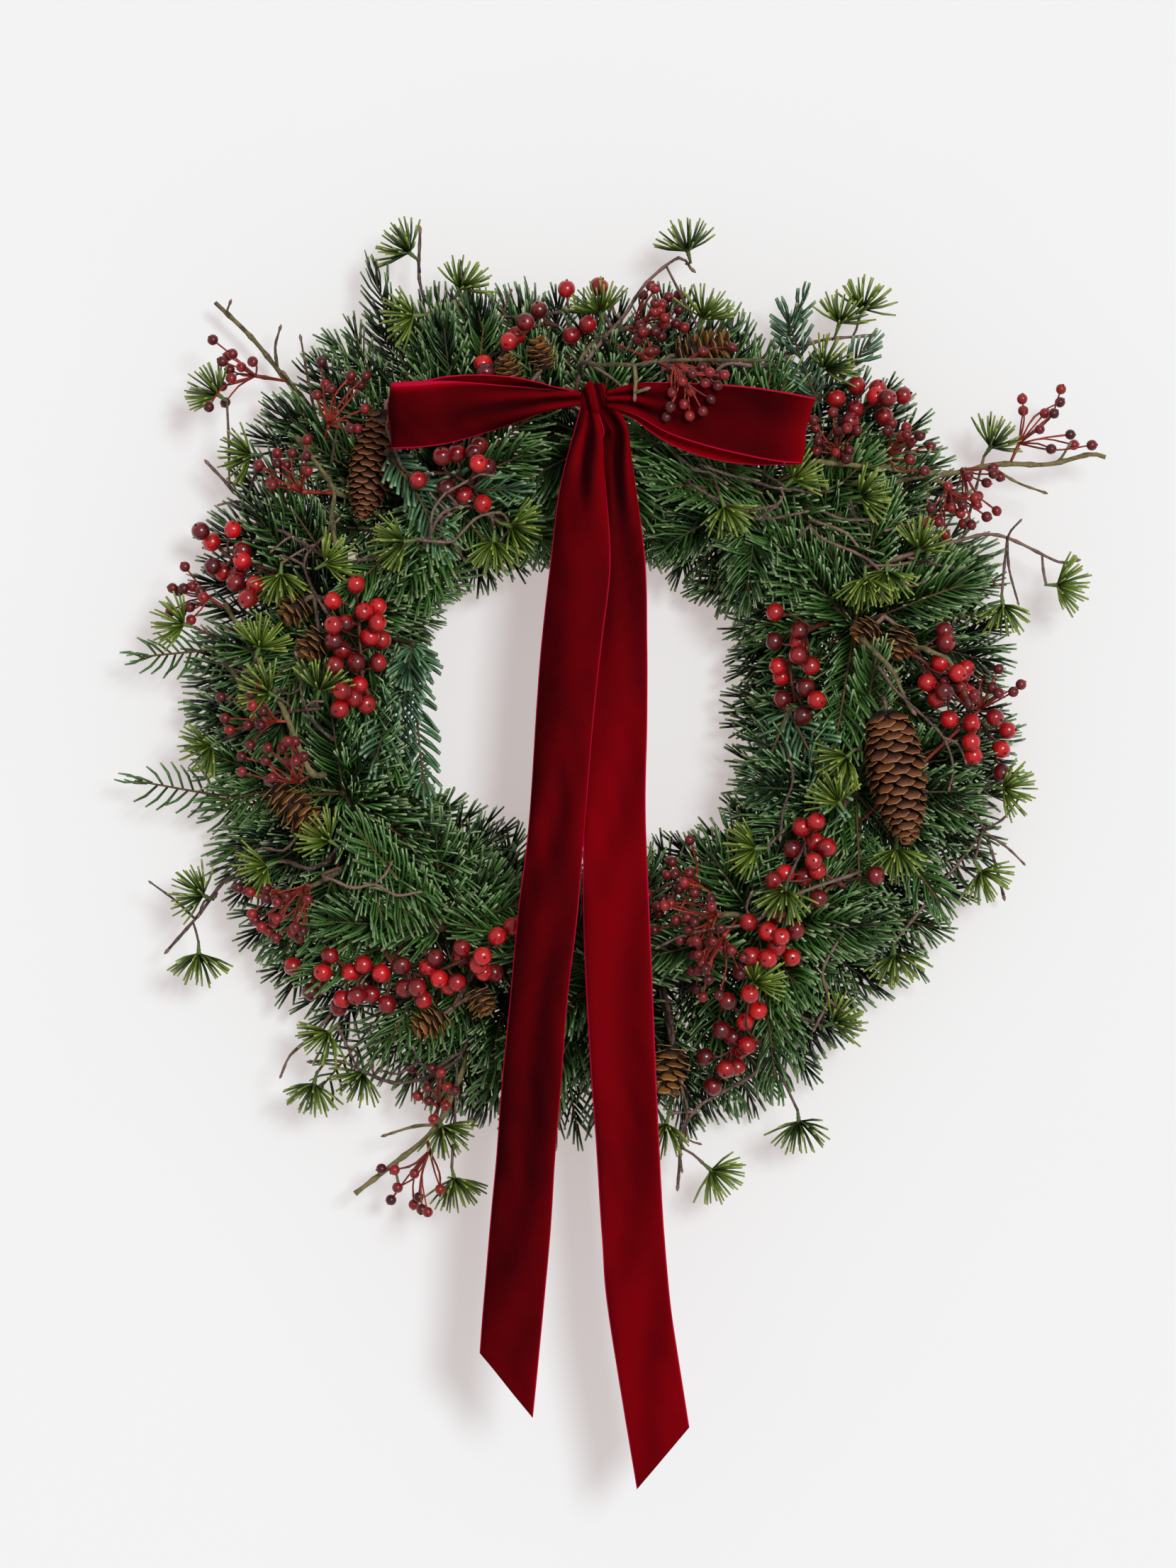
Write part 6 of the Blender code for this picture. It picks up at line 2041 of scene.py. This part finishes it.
for piece in tufted:
    more_tufts, twiglets = piece.more
    add_tufts(piece, more_tufts, filling=True)
    bm = blank()
    grow_twig(bm, piece.path, TUFT_STEM * 1.05, TUFT_STEM * 0.7, "ringed_twig", knots=12 * MM)
    for start, foot, middle in piece.tufts:
        axis = way_to(foot, middle)
        if (foot - start).length > 2 * MM:
            bend = (start + foot) / 2 + axis.orthogonal().normalized() * either(1) * MM
            points = [start, bend, foot + axis * MM]
            grow_twig(bm, points, TUFT_STEM * 0.6, TUFT_STEM * 0.7, "ringed_twig", sides=6)
        mouth = foot + axis * SOCKET_LENGTH
        matrix = Matrix.Translation(mouth) @ upright_to(axis, rng.uniform(0, math.tau))
        rng.choice(tuft_forms).put(bm, matrix, either(0.5))
        shown.keep(mouth, 7 * MM)
        shown.keep(mouth + axis * 11 * MM, 11 * MM)
    lay_twiglets(bm, piece, twiglets, TUFT_STEM * 0.7, "ringed_twig")
    lay_bud(bm, piece.path)
    dress(piece.name + "_tufts", bm, "tuft_needle", piece.name)

for name, runs in BARE_TWIGS.items():
    wind_twigs(name, runs, BARE_TWIG, "ringed_twig")
wind_twigs("olive", OLIVE_TWIGS, BARE_TWIG * 1.6, "olive_twig")

# The foliage, which fills in between and behind them.
for piece in spruce:
    hub = piece.path[-1]
    piece.angle = math.atan2(hub.z - CENTRE.z, hub.x - CENTRE.x)
    curves = [short_of_middle(curve) for curve in piece.curves]
    piece.far = [curve for curve in curves if reaches(curve)]
    piece.near = [curve for curve in curves if not reaches(curve)]
    piece.near += fill_curves(piece.angle, hub)
    piece.back = []
back_curves(spruce)
for piece in spruce:
    bm = spray_stem(piece)
    lay_boughs(bm, piece.far, sparse_forms, 0.6, 0.2)
    lay_boughs(bm, piece.near, spruce_forms)
    # The low boughs at the back carry painted shade, darker than the rest.
    lay_boughs(bm, piece.back, back_forms, -0.35)
    dress(piece.name + "_boughs", bm, "spruce_needle", piece.name)

for piece in fir:
    bm = spray_stem(piece)
    hub = piece.path[-1]
    curves = [short_of_middle(curve) for curve in piece.curves]
    for near_pixel, tip_pixel in piece.more:
        near = place(near_pixel, foliage_forward(near_pixel) - 4 * MM)
        tip = place(tip_pixel, foliage_forward(tip_pixel) + 4 * MM)
        curves.append(smooth([hub, (hub + near) / 2 + Vector((0, -4 * MM, 0)), near, tip], BOUGH_STEP))
    lay_boughs(bm, [curve for curve in curves if shown.covered(curve) < FIR_COVER], fir_forms, 0.0, 0.4)
    dress(piece.name + "_boughs", bm, "fir_needle", piece.name)

# The bow. The knot's band is the same ribbon, with no selvage showing, as if its edges were turned under.
bm = blank()
grow_twig(bm, bow[0].path, TIE_RADIUS, TIE_RADIUS, "ringed_twig")
dress("bow_tie", bm, "velvet", "bow_knot")
band = dress("bow_knot_band", knot_band(place(KNOT_PIXEL, BOW_FORWARD)), "velvet")
give_thickness(band)
for piece in bow[1:]:
    made = ribbon(piece.name, piece.rows)
    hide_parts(piece.name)

set_camera()
light_studio()
add_wall()
